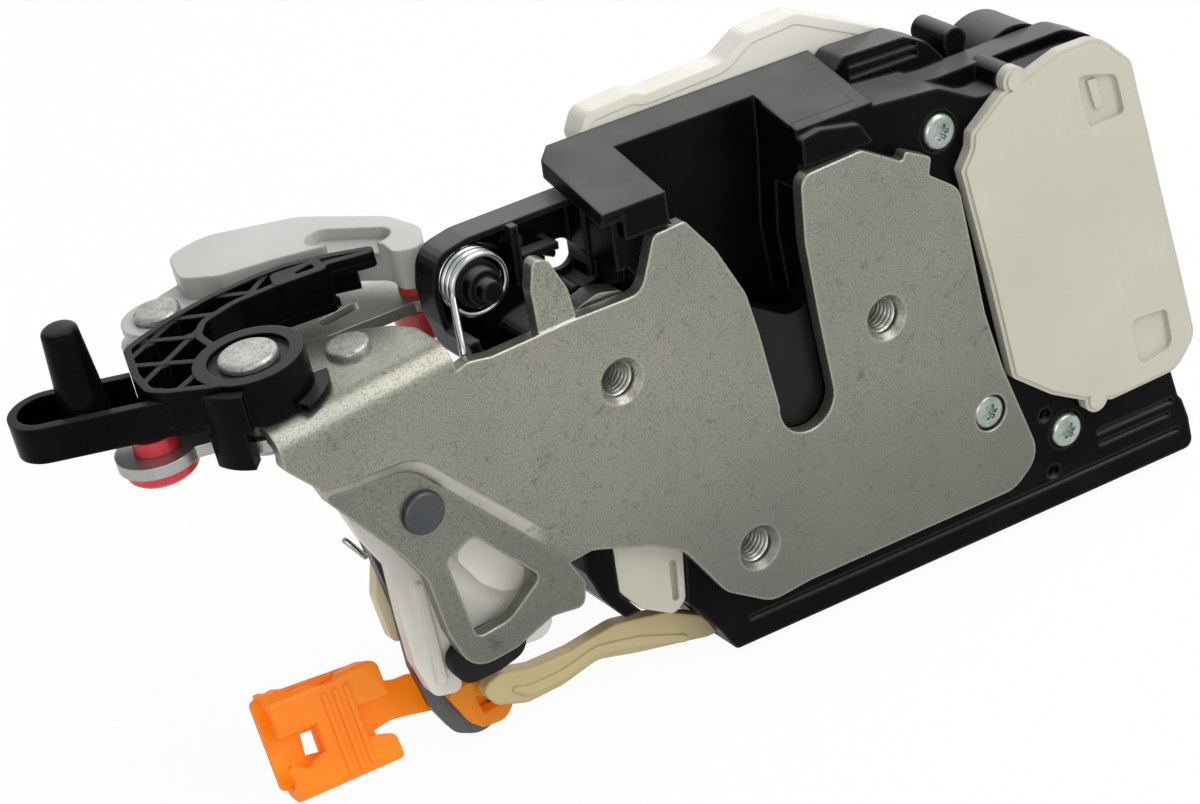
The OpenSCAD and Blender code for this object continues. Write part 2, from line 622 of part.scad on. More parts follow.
module wing() {
    outline = rounded(wing_outline);
    difference() {
        union() {
            slab(10.4, wing_back - 10.4) polygon(outline);
            slab(plate_t + 1.2, wing_back - plate_t - 1.2) intersection() {
                polygon(outline);
                polygon([[-70, 10], [-70, 30], [-53.6, 30], [-53.6, 10]]);
            }
        }
        slab(1, wing_back - wing_floor - 1) difference() {
            grown(outline, -1);
            polygon([[-70, 10], [-70, 30.2], [-55.2, 30.2], [-54, 10]]);
        }
        y_rod([-33.3, 33.3], 3, 14, 2.6);
        slab(10, 7) polygon([[-43.4, 34.4], [-39.6, 34.2], [-39.4, 38.6], [-42.6, 39.6]]);
    }
    y_rod(spring_post, 7.8, wing_back - 8, coil_r - wire_r - 0.3);
    y_rod(spring_post, 5.6, 2.3, 3);
    y_rod(spring_post, 3.4, 2.3, 1.8);
    y_rod([-34.2, 28.6], 8, 7, 1.3);
    difference() {
        translate([-44.6, 8.6, 33.6]) cube([1.4, wing_back - 9, 10]);
        slab(13.2, 1.8) polygon([[-46, 33], [-42, 33], [-42, 40.6], [-46, 40.6]]);
    }
    translate([-44.6, 10.4, 36.4]) cube([9, 2.6, 1.2]);
    translate([-36.8, 10.4, 36.4]) cube([1.2, wing_back - 10.6, 1.2]);
}
module mouth_block() {
    difference() {
        union() {
            slab(plate_t, housing_depth - plate_t) polygon(rounded([
                [-28.6, -8, 2], [-28.6, 60], [20, 60], [20, -12, 2], [10, -14, 3], [-12, -14, 3]
            ]));
            slab(0, plate_t + 1) polygon(rounded([[-29.6, 38.9], [-29.6, 60], [-18.6, 60], [-18.6, 38.9]]));
            lid_flange();
        }
        above_lid();
        slab(-1, 6.6) polygon(rounded([[-20, 39.4, 4.5], [-20, 47, 0.1], [-2, 60], [4.4, 60], [4.4, 39.4]]));
    }
    slab(1, 5) polygon(rounded([[5, 39.1], [4.8, 43.8, 1.2], [8.6, 44.4, 1.5], [16.4, 42.8, 1.5], [18.4, 39.1]]));
}
// Lid that overhangs the prong's left side
module lid_flange() {
    difference() {
        translate([-33.2, 0, 40]) rotate([90, 0, 90]) linear_extrude(20) polygon([
            [0.6, mouth_top - 40 - 1.6], [0, mouth_top - 40 - 0.8], [0, 24], [housing_depth, 24], [housing_depth, mouth_top - 40 + 2],
            [0.6, mouth_top - 42.4]
        ]);
        translate([-33.2, housing_depth, 30]) rotate([0, 0, 45]) cube([4, 4, 60], center = true);
    }
}
module latch_housing() {
    color([0.09, 0.09, 0.1]) difference() {
        union() {
            difference() {
                union() {
                    slab(plate_t, shell_depth - plate_t) difference() {
                        polygon(rounded(shell_outline));
                    }
                    mouth_block();
                }
                actuator_tray();
                link_channel();
                bumper_pocket();
                prong_hollow();
            }
            wing();
            y_rod([46.7, 40.6], cover_front + cover_t, 7, 2.3);
            slab(8, 5.5) rim_band();
            ridge_block();
            tray_posts();
            shell_ribs();
        }
        mechanism_pocket();
        striker_channel();
        rail_grooves();
        for (p = concat(screw_places, [plate_screw])) y_rod(p, 0, 12, screw_shank_r);
        for (p = screw_places) y_rod(p, 1, screw_seat - 1, screw_head_r + 0.4);
        slab(1, tab_back - 1) grown(rounded(tab_outline), 0.2);
        for (p = [[49.1, -22.4], [50.1, -33.7]]) y_rod(p, plate_t - 1, 2.4, 1.3);
        y_rod(free_collar, 0, pocket_floor, collar_r + 0.3);
        slab(plate_t - 1, 4.6) grown(rounded(guide_outline), 0.2);
        wheel_pin_seat();
    }
}
// Raised block beside the mouth with its gripping slots
module ridge_block() {
    difference() {
        slab(13, housing_depth - 13) polygon(rounded([
            [18.6, 36], [18.9, 46, 1], [22.4, 49.2, 1.5], [34.6, 48.8, 2], [39.2, 46.4, 1.5], [42.2, 42.8, 1], [41, 36]
        ]));
        slab(shell_depth, rear_depth) grown(rounded(rear_outline), 0.05);
        for (z = [0, 1.9]) slab(12, 2.6) polygon([[23.4, 45 + z], [37, 44.8 + z * 0.9], [37, 45.8 + z * 0.9], [23.4, 46 + z]]);
    }
}
// Proud band round the top of the actuator housing
module rim_band() {
    difference() {
        polygon(rounded([[20, 44.4, 1], [26, 43.2, 4], [37, 42.3, 4], [52, 42.5, 4], [63.4, 42.5, 6], [69.4, 39.4, 5], [73, 30, 2], [20, 30]]));
        polygon(rounded([[10, 36.4], [32, 36.4, 4], [42, 36.8, 4], [52, 38.2, 4], [62, 38.4, 6], [66.4, 36, 6], [69, 20], [10, 20]]));
    }
}
module prong_hollow() {
    translate([-29, 3.4, 28]) cube([5.4, 12, mouth_top - 28 - 3]);
}
bumper_box = [6.8, 6.2, 34];
module bumper_pocket() {
    translate([bumper_box[0], bumper_box[1], bumper_box[2]]) cube([9, 3.4, 20]);
}
module striker_bumper() {
    color([0.16, 0.16, 0.17]) translate([bumper_box[0] + 0.1, bumper_box[1] + 0.1, bumper_box[2]]) {
        difference() {
            cube([8.8, 3.2, 11.7]);
            for (x = [2.6, 6.2]) translate([x, 1.6, 6]) cylinder(h = 8, r = 0.7);
        }
    }
}
// Posts that carry the worm wheel and the motor inside the tray
wheel_place = [52.4, 12];
wheel_r = worm_module * wheel_teeth / 2;
worm_x = wheel_place[0] + wheel_r + worm_r;
worm_y = 8.6;
module tray_posts() {
    y_rod(wheel_place, 10.8, 4, 4);
    y_rod([46.6, -6], 8, 6.5, 2.6);
}
module wheel_pin_seat() {
    y_rod(wheel_place, 8, 7.6, 1.5);
}
// The motor stands under the worm, with its end cap clear of it
motor_len = 18.5;
motor_cap_t = 1.6;
worm_gap = 1.3;
worm_length = 11.2;
worm_collar = 1.6;
worm_mid = wheel_place[1];
motor_bottom = worm_mid - worm_length / 2 - worm_collar - worm_gap - motor_cap_t - motor_len;
shaft_end = worm_mid + 10.2;

// Rear shell, screwed to the front one
rear_outline = [
    [20.2, 44, 1], [31, 42, 4], [40, 40, 4], [52, 40.4, 4], [62, 40.2, 6], [67.6, 35, 7],
    [70.4, 24, 6], [74.4, 0], [77, -19, 4], [78.4, -29, 1], [80, -33, 2], [80, rail_bottom + 0.4, 2],
    [-16.6, rail_bottom + 0.4, 1.2], [-22, -31, 1], [-26, -14.2, 2], [20.2, -14.2, 1]
];
rear_depth = 7;
module rear_cover() {
    color([0.1, 0.1, 0.11]) difference() {
        union() {
            difference() {
                slab(shell_depth, rear_depth) polygon(rounded(rear_outline));
                slab(shell_depth - 1, rear_depth - wall + 1) grown(rounded(rear_outline), -wall);
            }
            for (x = [2:14:72]) translate([x, shell_depth + rear_depth - 1, -38.6]) cube([1.4, 2, 22]);
            for (z = [-6:12:30]) translate([24, shell_depth + rear_depth - 1, z]) cube([43 - z * 0.1, 2, 1.4]);
            difference() {
                union() {
                    y_rod([45.4, 44.4], 14, 9, 2.3);
                    translate([43.6, 14, 36]) cube([3.6, 9, 8]);
                    y_rod([57, 34.8], 13.7, 10.3, 8.7);
                }
                slab(0, shell_depth) grown(rounded(shell_outline), 0.1);
                slab(0, 13.7) grown(rounded(shell_outline), 4);
            }
        }
        translate([connector_place[0] - 8.1, 16, connector_place[2] - 6.1]) cube([16.2, 14, 12.2]);
    }
}

// Off-white cover over the actuator's tray
cover_front = 0;
cover_outline = [
    [34.6, 28.6, 0.8], [36.8, 31.9, 1.4], [37.2, 34.4, 1], [43.6, 39.2, 1], [49.4, 40.8, 2], [56.2, 42.8, 4],
    [64.4, 42.8, 6], [70.8, 36.6, 4], [72, 30], [73.3, 23.6], [75.1, 13.5], [78.4, -3.5], [81, -18, 4],
    [76.6, -23, 5], [62, -23.4, 2], [55.8, -21.2, 2], [49.2, -17.6, 3], [41.5, -11.6, 2], [38.4, 7.9]
];
module cover_edge(y0, t, inset) {
    slab(y0, t) union() {
        grown(rounded(cover_outline, 4), -inset);
        at_flat([46.8, 40.6]) circle(2.4 - inset);
        at_flat([58.8, -22]) circle(2.5 - inset);
    }
}
module actuator_cover() {
    color([0.86, 0.85, 0.81]) {
        difference() {
            union() {
                cover_edge(cover_front, 0.5, 0.7);
                cover_edge(cover_front + 0.4, cover_t - 0.5, 0);
            }
            slab(cover_front - 1, 1.9) polygon(rounded([[59, 37.6, 1], [60.9, 27.7, 1], [68.6, 27.9, 1], [67.2, 35.4, 2]]));
            slab(cover_front - 1, 1.9) polygon(rounded([[67, -10, 1], [74.8, -10.6, 1], [75.8, -18.2, 2], [68.4, -19.2, 1.5]]));
        }
        slab(cover_front + cover_t - 0.1, 2.3) difference() {
            grown(rounded(tray_outline), -0.25);
            grown(rounded(tray_outline), -1.6);
        }
        slab(cover_front + 0.3, 1.4) polygon([[61.4, 35.8], [62.8, 30.4], [64.4, 30.4], [63.2, 35.8]]);
    }
}

// Off-white guide cover on the latch's back
module guide_cover() {
    front = housing_depth + 0.2;
    outline = rounded([
        [-22.6, 44, 2], [-24.3, 48.4, 2], [-22.4, 52.2, 2.5], [-13.2, 52.7, 3], [-11.4, 51.8, 2], [3.8, 52.4, 4],
        [9, 55.6, 4], [18.6, 56.2, 4], [30, 50.9, 3], [42.4, 44.4, 3], [42, 30, 4], [34, 2, 4], [-10, 2, 4]
    ]);
    color([0.9, 0.89, 0.84]) {
        difference() {
            slab(front, 4.6) polygon(outline);
            slab(front - 0.5, 3.3) grown(outline, -1.8);
            slab(front - 0.5, rear_depth) grown(rounded(rear_outline), 0.3);
        }
        slab(front + 4.2, 1.4) difference() {
            grown(outline, -6);
            grown(outline, -7.6);
            grown(rounded(rear_outline), 0.3);
        }
        for (p = [[-12, 12], [-10, 38], [12, 8]]) y_rod(p, housing_depth, 4, 3);
        y_rod([2, 26], front + 4, 2.2, 7);
    }
}

// Star-recess screws, one solid each
module star_recess() {
    for (a = [0:60:300]) rotate([0, 0, a]) translate([1.15, 0, 0]) cylinder(h = 3, r = 0.42);
    cylinder(h = 3, r = 1.1);
}
module star_screw(place, seat, length) {
    translate([place[0], seat, place[1]]) rotate([90, 0, 0]) difference() {
        union() {
            rotate_extrude() polygon(concat(
                [[0, 0], [screw_head_r, 0], [screw_head_r, screw_head_h - 1.05]],
                arc([screw_head_r - 0.9, screw_head_h - 1.05], 0.9, 0, 80, 4), [[0, screw_head_h]]
            ));
            translate([0, 0, -length]) cylinder(h = length, r = screw_shank_r);
        }
        translate([0, 0, 0.75]) star_recess();
    }
}
module star_screws() {
    color("lightsteelblue") {
        for (p = screw_places) star_screw(p, screw_seat, 8.5);
        star_screw(plate_screw, plate_seat, 11 - plate_seat);
    }
}

// Torsion spring round the post, with one leg to the housing and one behind the plate
module release_spring() {
    steps = 20;
    coil = [
        for (i = [0:coil_turns * steps + 6])
        let (a = 180 - 360 * i / steps)
        [spring_post[0] + coil_r * cos(a), coil_front + coil_pitch * i / steps, spring_post[1] + coil_r * sin(a)]
    ];
    back = coil[len(coil) - 1][1];
    leg_down = [[-58.6, 3.4, 27.2], [-58.4, 3.6, 29.6], [-57.7, 5.2, 33]];
    leg_side = [
        [spring_post[0] + coil_r * cos(62), back, spring_post[1] + coil_r * sin(62)],
        [-42, back, spring_post[1] + 0.3], [-35.4, back, spring_post[1] - 3.4]
    ];
    color("silver") wire(concat(leg_down, coil, leg_side), wire_r);
}
// Straight spring wires of the pawl and the fork
module pawl_spring() {
    color("silver") wire([[-26.2, 8.2, 24.4], [-25.9, 8.2, 31], [-25.6, 8.2, 37.4], [-24.05, 8.2, 38.4]], 0.4);
}
module fork_spring() {
    color("gray") wire(spring_spiral(), 0.3, 6);
}
function fork_pivot_at(r, a, y) = [fork_pivot[0] + r * cos(a), y, fork_pivot[1] + r * sin(a)];
function spring_spiral() = [for (i = [0:44]) fork_pivot_at(5.4 + 0.055 * i, -60 + 18 * i, fork_back + 0.5)];

// Lock lever group behind the lobe
lock_front = 8;
lock_plate_front = 12.2;
lock_cam_front = 14.6;
clip_hub = [-61.3, -34.8];
module lock_lever() {
    color([0.93, 0.93, 0.92]) difference() {
        union() {
            slab(lock_front, lock_t) polygon(rounded([
                [-80.6, 8.4, 2], [-78, 2, 4], [-74.6, -4, 2], [-73.9, -14, 4], [-73, -22, 5], [-70.6, -29, 2.5],
                [-64.6, -30.2, 2], [-66.4, -25.4, 3], [-63, -23.6, 3], [-56, -26.4, 3], [-47.6, -27, 3],
                [-47.8, -18, 5], [-50, -8, 4], [-57, 4, 4], [-63, 14, 5], [-73, 15.4, 5]
            ]));
            slab(lock_front - 1.6, 1.7) polygon(rounded([[-64.2, -5.4, 2], [-60, -2.6, 3], [-52, -12, 1.5], [-52.6, -15.8, 1], [-56.6, -14.8, 1.5], [-60, -12, 3]]));
            y_rod(lock_pivot, step_depth + plate_t + 0.3, lock_front - step_depth - plate_t - 0.2, 6);
            slab(lock_front - 0.8, 0.9) polygon(rounded([[-71, -8, 1], [-69.6, -8, 1], [-68, -27, 1], [-69.8, -27, 1]]));
        }
        y_rod(lock_pivot, 0, 20, lock_shank_r + pivot_gap);
    }
}
module lock_arm_plate() {
    color([0.35, 0.37, 0.38]) difference() {
        slab(lock_plate_front, 2) polygon(rounded([
            [-74.6, 13, 5], [-75.4, -2, 4], [-72.6, -14, 6], [-71.6, -25.4, 4], [-69.2, -34, 5], [-66, -39.6, 4],
            [-60.4, -42.2, 5], [-54.6, -37, 5], [-56, -29, 4], [-60, -14, 6], [-63, 6, 5], [-65, 13, 4]
        ]));
        y_rod(lock_pivot, 0, 20, lock_shank_r + pivot_gap);
        y_rod(clip_hub, 0, 20, clip_neck_r + pivot_gap);
    }
}
module lock_cam() {
    color([0.88, 0.85, 0.74]) difference() {
        union() {
            slab(lock_cam_front, 2.2) polygon(rounded([
                [-74, 12, 4], [-73.4, -6, 2], [-74.6, -12, 3], [-73, -20.6, 1.5], [-69, -21.6, 1], [-64, -12, 4], [-64, 6, 5], [-66, 13, 4]
            ]));
            y_rod(lock_pivot, lock_plate_front + 2, lock_cam_front - lock_plate_front - 1.9, 4.6);
        }
        y_rod(lock_pivot, 0, 24, lock_shank_r + pivot_gap);
    }
}
module toggle_spring() {
    post = 5.2;
    y0 = lock_cam_front + 2.8;
    coil = [for (i = [0:34]) let (a = 40 - 18 * i) [lock_pivot[0] + post * cos(a), y0 + 0.045 * i, lock_pivot[1] + post * sin(a)]];
    hook = [[-75.6, y0 + 0.6, 0.4], [-76.6, y0, -2], [-78.2, y0 - 2.6, -1.2]];
    color("silver") wire(concat([[-62, y0, 9.2], [-64, y0, 10.6]], coil, hook), 0.5, 8);
}
module stop_pad() {
    color([0.1, 0.09, 0.09]) slab(step_depth + plate_t, 2.4) polygon(rounded([
        [-68.8, -22.4, 3], [-66, -19.6, 2], [-58, -19, 3], [-54.2, -20.8, 2], [-55, -25.6, 3], [-60, -27, 4], [-66.6, -27.2, 3.4]
    ]));
}

// Cream link that carries the actuator's stroke to the lock lever
link_front = 7;
link_right = 2;
module lock_link() {
    color([0.82, 0.78, 0.62]) difference() {
        union() {
            slab(link_front, link_t - 0.4) polygon(rounded([
                [-63, -30.6, 2], [-60.6, -34.4, 3], [-54.8, -36.4, 5], [-48, -36, 6], [-41, -34.2, 5], [-34, -36, 5],
                [-20, -38.8, 1], [link_right, -38.8, 1], [link_right, -35.2, 1], [-19.4, -35.2, 3], [-27, -31.2, 4], [-31, -30.4, 6],
                [-37, -29.3, 6], [-45.6, -30.6, 5], [-53, -30.6, 4], [-58.6, -29.2, 3]
            ]));
            slab(link_front - 0.3, 0.4) polygon(rounded([
                [-59, -31.8, 1], [-54, -33.4, 3], [-48, -33.2, 5], [-41, -31.6, 5], [-33, -33.2, 5], [-24, -36.6, 1],
                [-24, -38, 1], [-33, -35.2, 5], [-41, -33.4, 5], [-48, -35.2, 5], [-54.4, -35.4, 3]
            ]));
        }
    }
}
guide_outline = [
    [-37.8, -9, 1], [-37.6, -21.4, 1.5], [-34.2, -25.8, 1.5], [-28, -29.4, 1.5], [-25.6, -27.6, 1.5],
    [-25, -19, 1], [-25, -9, 1]
];
module link_guide() {
    color([0.9, 0.88, 0.83]) difference() {
        slab(plate_t + 0.4, 3.2) polygon(rounded(guide_outline));
        slab(plate_t - 1, 2.6) polygon(rounded([[-27.8, -19.4, 0.5], [-26.4, -20, 0.5], [-26.8, -27.4, 0.5], [-28, -27, 0.5]]));
    }
}

// Orange rod clip: a hub through the lock arm, a springy arm and a folded clamp
clip_neck_r = 2.9;
clip_back = lock_plate_front + 2.3;
module clip_frame() {
    translate([-70, 16.5, -32]) rotate([-clip_tilt, 0, 0]) children();
}
module rod_clip() {
    color([1, 0.55, 0.12]) {
        difference() {
            union() {
                slab(lock_plate_front - 2.2, 1.9) polygon(rounded([
                    [-67.4, -31.2, 1], [-64, -30.4, 1], [-61.6, -30.8, 1], [-55.8, -37.3, 1], [-57.6, -39.6, 2.4],
                    [-61.8, -39.4, 1.5], [-64, -37.6, 2]
                ]));
                y_rod(clip_hub, lock_plate_front - 0.4, 2.9, clip_neck_r);
                y_rod(clip_hub, clip_back, 2.4, clip_hub_r);
            }
            slab(0, 13) polygon([[-62.5, -33.2], [-59.3, -34.4], [-58.4, -36.6], [-61.4, -37]]);
        }
        clip_frame() {
            clip_arm();
            clip_clamp();
        }
    }
}
module clip_arm() {
    slab(0, 1.6) polygon(rounded([
        [-10, 3.2, 1], [-4.7, 3.7, 2], [-2, 3, 2], [0.4, 3, 3], [6, 0.6, 3], [11, -1.6, 2], [10.4, -4.6, 2],
        [1.5, -3.9, 4], [-2, -3.2, 2], [-5.4, -2.7, 2], [-10, -3.4, 1]
    ]));
}
// Front view of the clamp's two folded flaps
clamp_upper = [
    [-25.4, 12], [-24.4, 8.9, 0.6], [-22.1, 9.3, 0.6], [-21.3, 8.1, 0.8], [-18, 8.1, 1], [-15.2, 7.1, 1.5], [-12.8, 7.3, 1],
    [-12, 8, 0.6], [-5.8, 8, 1.6], [-5.8, 1.2, 1], [-25.4, 1.2, 0.4]
];
clamp_lower = [
    [-25.6, -2, 0.6], [-22.9, -4, 0.8], [-18.8, -2.6, 0.6], [-10, -3.4, 2], [-7, -4.3, 1.4], [-6.7, -9.2, 1], [-25.2, -9.2, 1]
];
module clip_clamp() {
    slab(0, 1.3) difference() {
        polygon(rounded([[-26.5, 8.6, 1], [-26.5, -6.4, 1], [-20, -7.4, 1], [-8.6, -7.4, 1], [-8.6, 8, 1], [-24, 8.9, 1]]));
        polygon([[-20.6, 1], [-18.2, 0.9], [-18.3, -2.9], [-21, -2.5]]);
        polygon([[-9.5, 1.5], [-9, 1.4], [-9, -2.8], [-9.6, -2.7]]);
    }
    intersection() {
        slab(-6, 9) polygon(rounded(clamp_upper));
        clamp_fold([[1.3, 7], [1.3, 9.6, 1], [-2.2, 9.4, 2.4], [-4.2, 7.6, 1.6], [-4.2, 1.8, 0.6], [-2.8, 1.8, 0.4], [-2.8, 6.2, 1], [-1.6, 7, 0.8]]);
    }
    intersection() {
        slab(-6, 9) polygon(rounded(clamp_lower));
        clamp_fold([[1.3, -5.6], [1.3, -7.4, 1], [-1.4, -8.9, 2], [-4.2, -8.3, 1.8], [-4.2, -2, 0.4], [-2.8, -2, 0.4], [-2.8, -6.4, 1], [-1, -6.6, 0.8]]);
    }
    slab(-4.2, 1.4) polygon([[-18.8, 3], [-12, 3], [-11.2, -4], [-18.8, -4]]);
    for (x = [-16.6, -14.6, -12.6]) slab(-4.5, 0.4) polygon([[x, 6], [x + 0.9, 6], [x + 0.9, -7.4], [x, -7.4]]);
}
module clamp_fold(profile) {
    translate([-30, 0, 0]) rotate([90, 0, 90]) linear_extrude(30) polygon(rounded(profile));
}

// Motor, worm and worm wheel in the tray
worm_pitch = PI * worm_module;
module motor_can() {
    color("silver") translate([worm_x, worm_y, motor_bottom]) difference() {
        cylinder(h = motor_len, r = motor_r);
        translate([0, 0, 2]) cylinder(h = motor_len, r = motor_r - 0.9);
        translate([0, 0, 1]) cylinder(h = 4, r = 1.05);
    }
}
module motor_rotor() {
    color("darkgoldenrod") translate([worm_x, worm_y, motor_bottom + 4.4]) difference() {
        cylinder(h = motor_len - 8.7, r = motor_r - 1.5);
        translate([0, 0, -1]) cylinder(h = motor_len, r = 1);
    }
}
module motor_end_cap() {
    color("white") translate([worm_x, worm_y, motor_bottom + motor_len]) difference() {
        cylinder(h = motor_cap_t, r = motor_r);
        translate([0, 0, -1]) cylinder(h = 4, r = 1.05);
    }
}
module motor_shaft() {
    color("gainsboro") translate([worm_x, worm_y, motor_bottom + 1.2])
        cylinder(h = shaft_end - motor_bottom - 1.2, r = 1);
}
module worm() {
    root = worm_r - 0.9 * worm_module;
    tip = worm_r + 0.75 * worm_module;
    turns = worm_length / worm_pitch;
    profile = [
        for (s = [[-0.5, root], [-0.4, root], [-0.3, root], [-0.13, tip], [0.13, tip], [0.3, root], [0.4, root]])
        s[1] * [cos(360 * s[0] + 180 - 180 * turns), sin(360 * s[0] + 180 - 180 * turns)]
    ];
    color("white") translate([worm_x, worm_y, worm_mid]) difference() {
        union() {
            cylinder(h = worm_length + 2 * worm_collar, r = root - 0.06, center = true);
            linear_extrude(worm_length, center = true, twist = -360 * turns, slices = round(12 * turns), segments = len(profile))
                polygon(profile);
        }
        cylinder(h = 60, r = 1, center = true);
    }
}
wheel_front = worm_y - 2.2;
module worm_wheel() {
    tooth = 360 / wheel_teeth;
    root = wheel_r - worm_module;
    outline = [
        for (i = [0:wheel_teeth - 1], s = [[root, -0.36], [wheel_r + 0.6 * worm_module, -0.13], [wheel_r + 0.6 * worm_module, 0.13], [root, 0.36]])
        let (a = (i + s[1] + 0.5) * tooth) s[0] * [cos(a), sin(a)]
    ];
    color("wheat") difference() {
        slab(wheel_front, 4.4) at_flat(wheel_place) difference() {
            polygon(outline);
            for (a = [0:60:300]) at_flat(6.6 * [cos(a), sin(a)]) circle(1.6);
        }
        y_rod(wheel_place, 0, 20, 1.5 + pivot_gap);
    }
}
module wheel_pin() {
    color("gainsboro") y_rod(wheel_place, 2.6, 12.6, 1.5);
}
module drive_crank() {
    tip = wheel_place + [-6, -2.2];
    color("white") difference() {
        union() {
            y_rod(wheel_place, wheel_front - 2.1, 2.1, 4.6);
            slab(wheel_front - 2.1, 2.1) bar2d(wheel_place + [-2, -0.7], tip, 4.5);
            y_rod(tip, wheel_front - 2.1, 2.1, 2.4);
        }
        y_rod(wheel_place, 0, 20, 1.5 + pivot_gap);
    }
}
module contact_strips() {
    color("goldenrod") {
        translate([44.9, tray_floor - 0.8, 2]) cube([1.2, 0.8, 31]);
        translate([46.8, tray_floor - 0.8, -1]) cube([1.2, 0.8, 28]);
        translate([46.8, tray_floor - 0.8, -1]) cube([12, 0.8, 1.2]);
    }
}
module position_switch() {
    color([0.2, 0.2, 0.22]) {
        translate([47.4, tray_floor - 3.8, 28.2]) cube([10.4, 3.8, 6.2]);
        translate([50, tray_floor - 3.4, 27.2]) cube([2, 2.2, 1.1]);
    }
}
connector_place = [58, shell_depth, -28];
module connector_shell() {
    color([0.12, 0.12, 0.13]) translate(connector_place) difference() {
        translate([-8, 0, -6]) cube([16, 14, 12]);
        translate([-6.4, 3, -4.4]) cube([12.8, 12, 8.8]);
    }
}
module connector_pins() {
    color("goldenrod") for (x = [-4.6, 0, 4.6]) translate(connector_place + [x - 0.4, 3, -0.4]) cube([0.8, 8, 0.8]);
}

face_plate();
lock_pivot_rivet();
flange_rivet();
lever_pivot_rivet();
key_pivot_rivet();
latch_housing();
rear_cover();
actuator_cover();
guide_cover();
striker_bumper();
star_screws();
release_spring();
pawl_spring();
fork_spring();
fork_core();
fork_jacket();
pawl();
outside_lever();
inside_lever();
left_bushing();
right_bushing();
key_lever();
lock_lever();
lock_arm_plate();
lock_cam();
toggle_spring();
stop_pad();
lock_link();
link_guide();
rod_clip();
motor_can();
motor_end_cap();
motor_shaft();
motor_rotor();
worm();
worm_wheel();
wheel_pin();
drive_crank();
contact_strips();
position_switch();
connector_shell();
connector_pins();
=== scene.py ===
import json
import math

import bmesh
import bpy
from mathutils import Matrix, Vector


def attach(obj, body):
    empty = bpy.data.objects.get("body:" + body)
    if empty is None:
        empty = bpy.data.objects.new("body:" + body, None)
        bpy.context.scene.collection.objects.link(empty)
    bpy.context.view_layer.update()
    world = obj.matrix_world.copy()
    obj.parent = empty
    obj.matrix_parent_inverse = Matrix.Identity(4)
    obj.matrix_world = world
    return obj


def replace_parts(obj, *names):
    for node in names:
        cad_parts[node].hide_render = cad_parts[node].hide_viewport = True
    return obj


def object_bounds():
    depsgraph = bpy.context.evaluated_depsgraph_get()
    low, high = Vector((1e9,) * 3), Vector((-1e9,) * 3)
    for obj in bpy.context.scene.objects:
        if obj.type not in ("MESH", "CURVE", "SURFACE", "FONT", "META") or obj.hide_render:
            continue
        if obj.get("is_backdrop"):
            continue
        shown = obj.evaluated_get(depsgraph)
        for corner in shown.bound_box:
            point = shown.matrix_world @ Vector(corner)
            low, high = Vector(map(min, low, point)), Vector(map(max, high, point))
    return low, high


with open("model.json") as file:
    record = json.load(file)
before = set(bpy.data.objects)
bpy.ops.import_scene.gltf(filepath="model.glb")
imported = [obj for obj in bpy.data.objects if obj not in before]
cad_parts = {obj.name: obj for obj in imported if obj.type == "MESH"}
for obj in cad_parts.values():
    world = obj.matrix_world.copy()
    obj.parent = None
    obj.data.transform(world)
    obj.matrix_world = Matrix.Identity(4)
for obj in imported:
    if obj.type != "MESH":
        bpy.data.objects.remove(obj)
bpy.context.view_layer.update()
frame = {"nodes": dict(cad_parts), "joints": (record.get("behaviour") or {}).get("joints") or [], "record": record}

# Materials work in metres, and the pieces are given in mm
MM = 0.001


# Shader nodes
def node_tree(name):
    """A new material, its empty tree and the socket that takes its surface."""
    material = bpy.data.materials.new(name)
    material.use_nodes = True
    nt = material.node_tree
    nt.nodes.clear()
    return material, nt, nt.nodes.new("ShaderNodeOutputMaterial").inputs["Surface"]


def feed(nt, value, socket):
    """Links a socket, or sets a plain number, vector or colour."""
    if isinstance(value, bpy.types.NodeSocket):
        nt.links.new(value, socket)
    elif socket.type == "RGBA":
        socket.default_value = (*value, 1.0)
    else:
        socket.default_value = value


def noise(nt, place, scale, detail=4.0, rough=0.55, distortion=0.0):
    node = nt.nodes.new("ShaderNodeTexNoise")
    node.inputs["Scale"].default_value = scale
    node.inputs["Detail"].default_value = detail
    node.inputs["Roughness"].default_value = rough
    node.inputs["Distortion"].default_value = distortion
    feed(nt, place, node.inputs["Vector"])
    return node.outputs["Fac"]


def spread(nt, value, start, end, low=0.0, high=1.0):
    """Goes from low to high, while value goes from start to end."""
    node = nt.nodes.new("ShaderNodeMapRange")
    node.inputs["From Min"].default_value = start
    node.inputs["From Max"].default_value = end
    node.inputs["To Min"].default_value = low
    node.inputs["To Max"].default_value = high
    feed(nt, value, node.inputs["Value"])
    return node.outputs["Result"]


def math_node(nt, operation, a, b=0.0):
    node = nt.nodes.new("ShaderNodeMath")
    node.operation = operation
    feed(nt, a, node.inputs[0])
    feed(nt, b, node.inputs[1])
    return node.outputs[0]


def dot_product(nt, a, b):
    node = nt.nodes.new("ShaderNodeVectorMath")
    node.operation = "DOT_PRODUCT"
    feed(nt, a, node.inputs[0])
    feed(nt, b, node.inputs[1])
    return node.outputs["Value"]


def mix_colour(nt, amount, below, above):
    node = nt.nodes.new("ShaderNodeMix")
    node.data_type = "RGBA"
    feed(nt, amount, node.inputs["Factor"])
    colours = [socket for socket in node.inputs if socket.type == "RGBA"]
    feed(nt, below, colours[0])
    feed(nt, above, colours[1])
    return [socket for socket in node.outputs if socket.type == "RGBA"][0]


def mix_shader(nt, amount, first, second):
    node = nt.nodes.new("ShaderNodeMixShader")
    feed(nt, amount, node.inputs[0])
    feed(nt, first, node.inputs[1])
    feed(nt, second, node.inputs[2])
    return node.outputs[0]


BEVEL_SAMPLES = 4


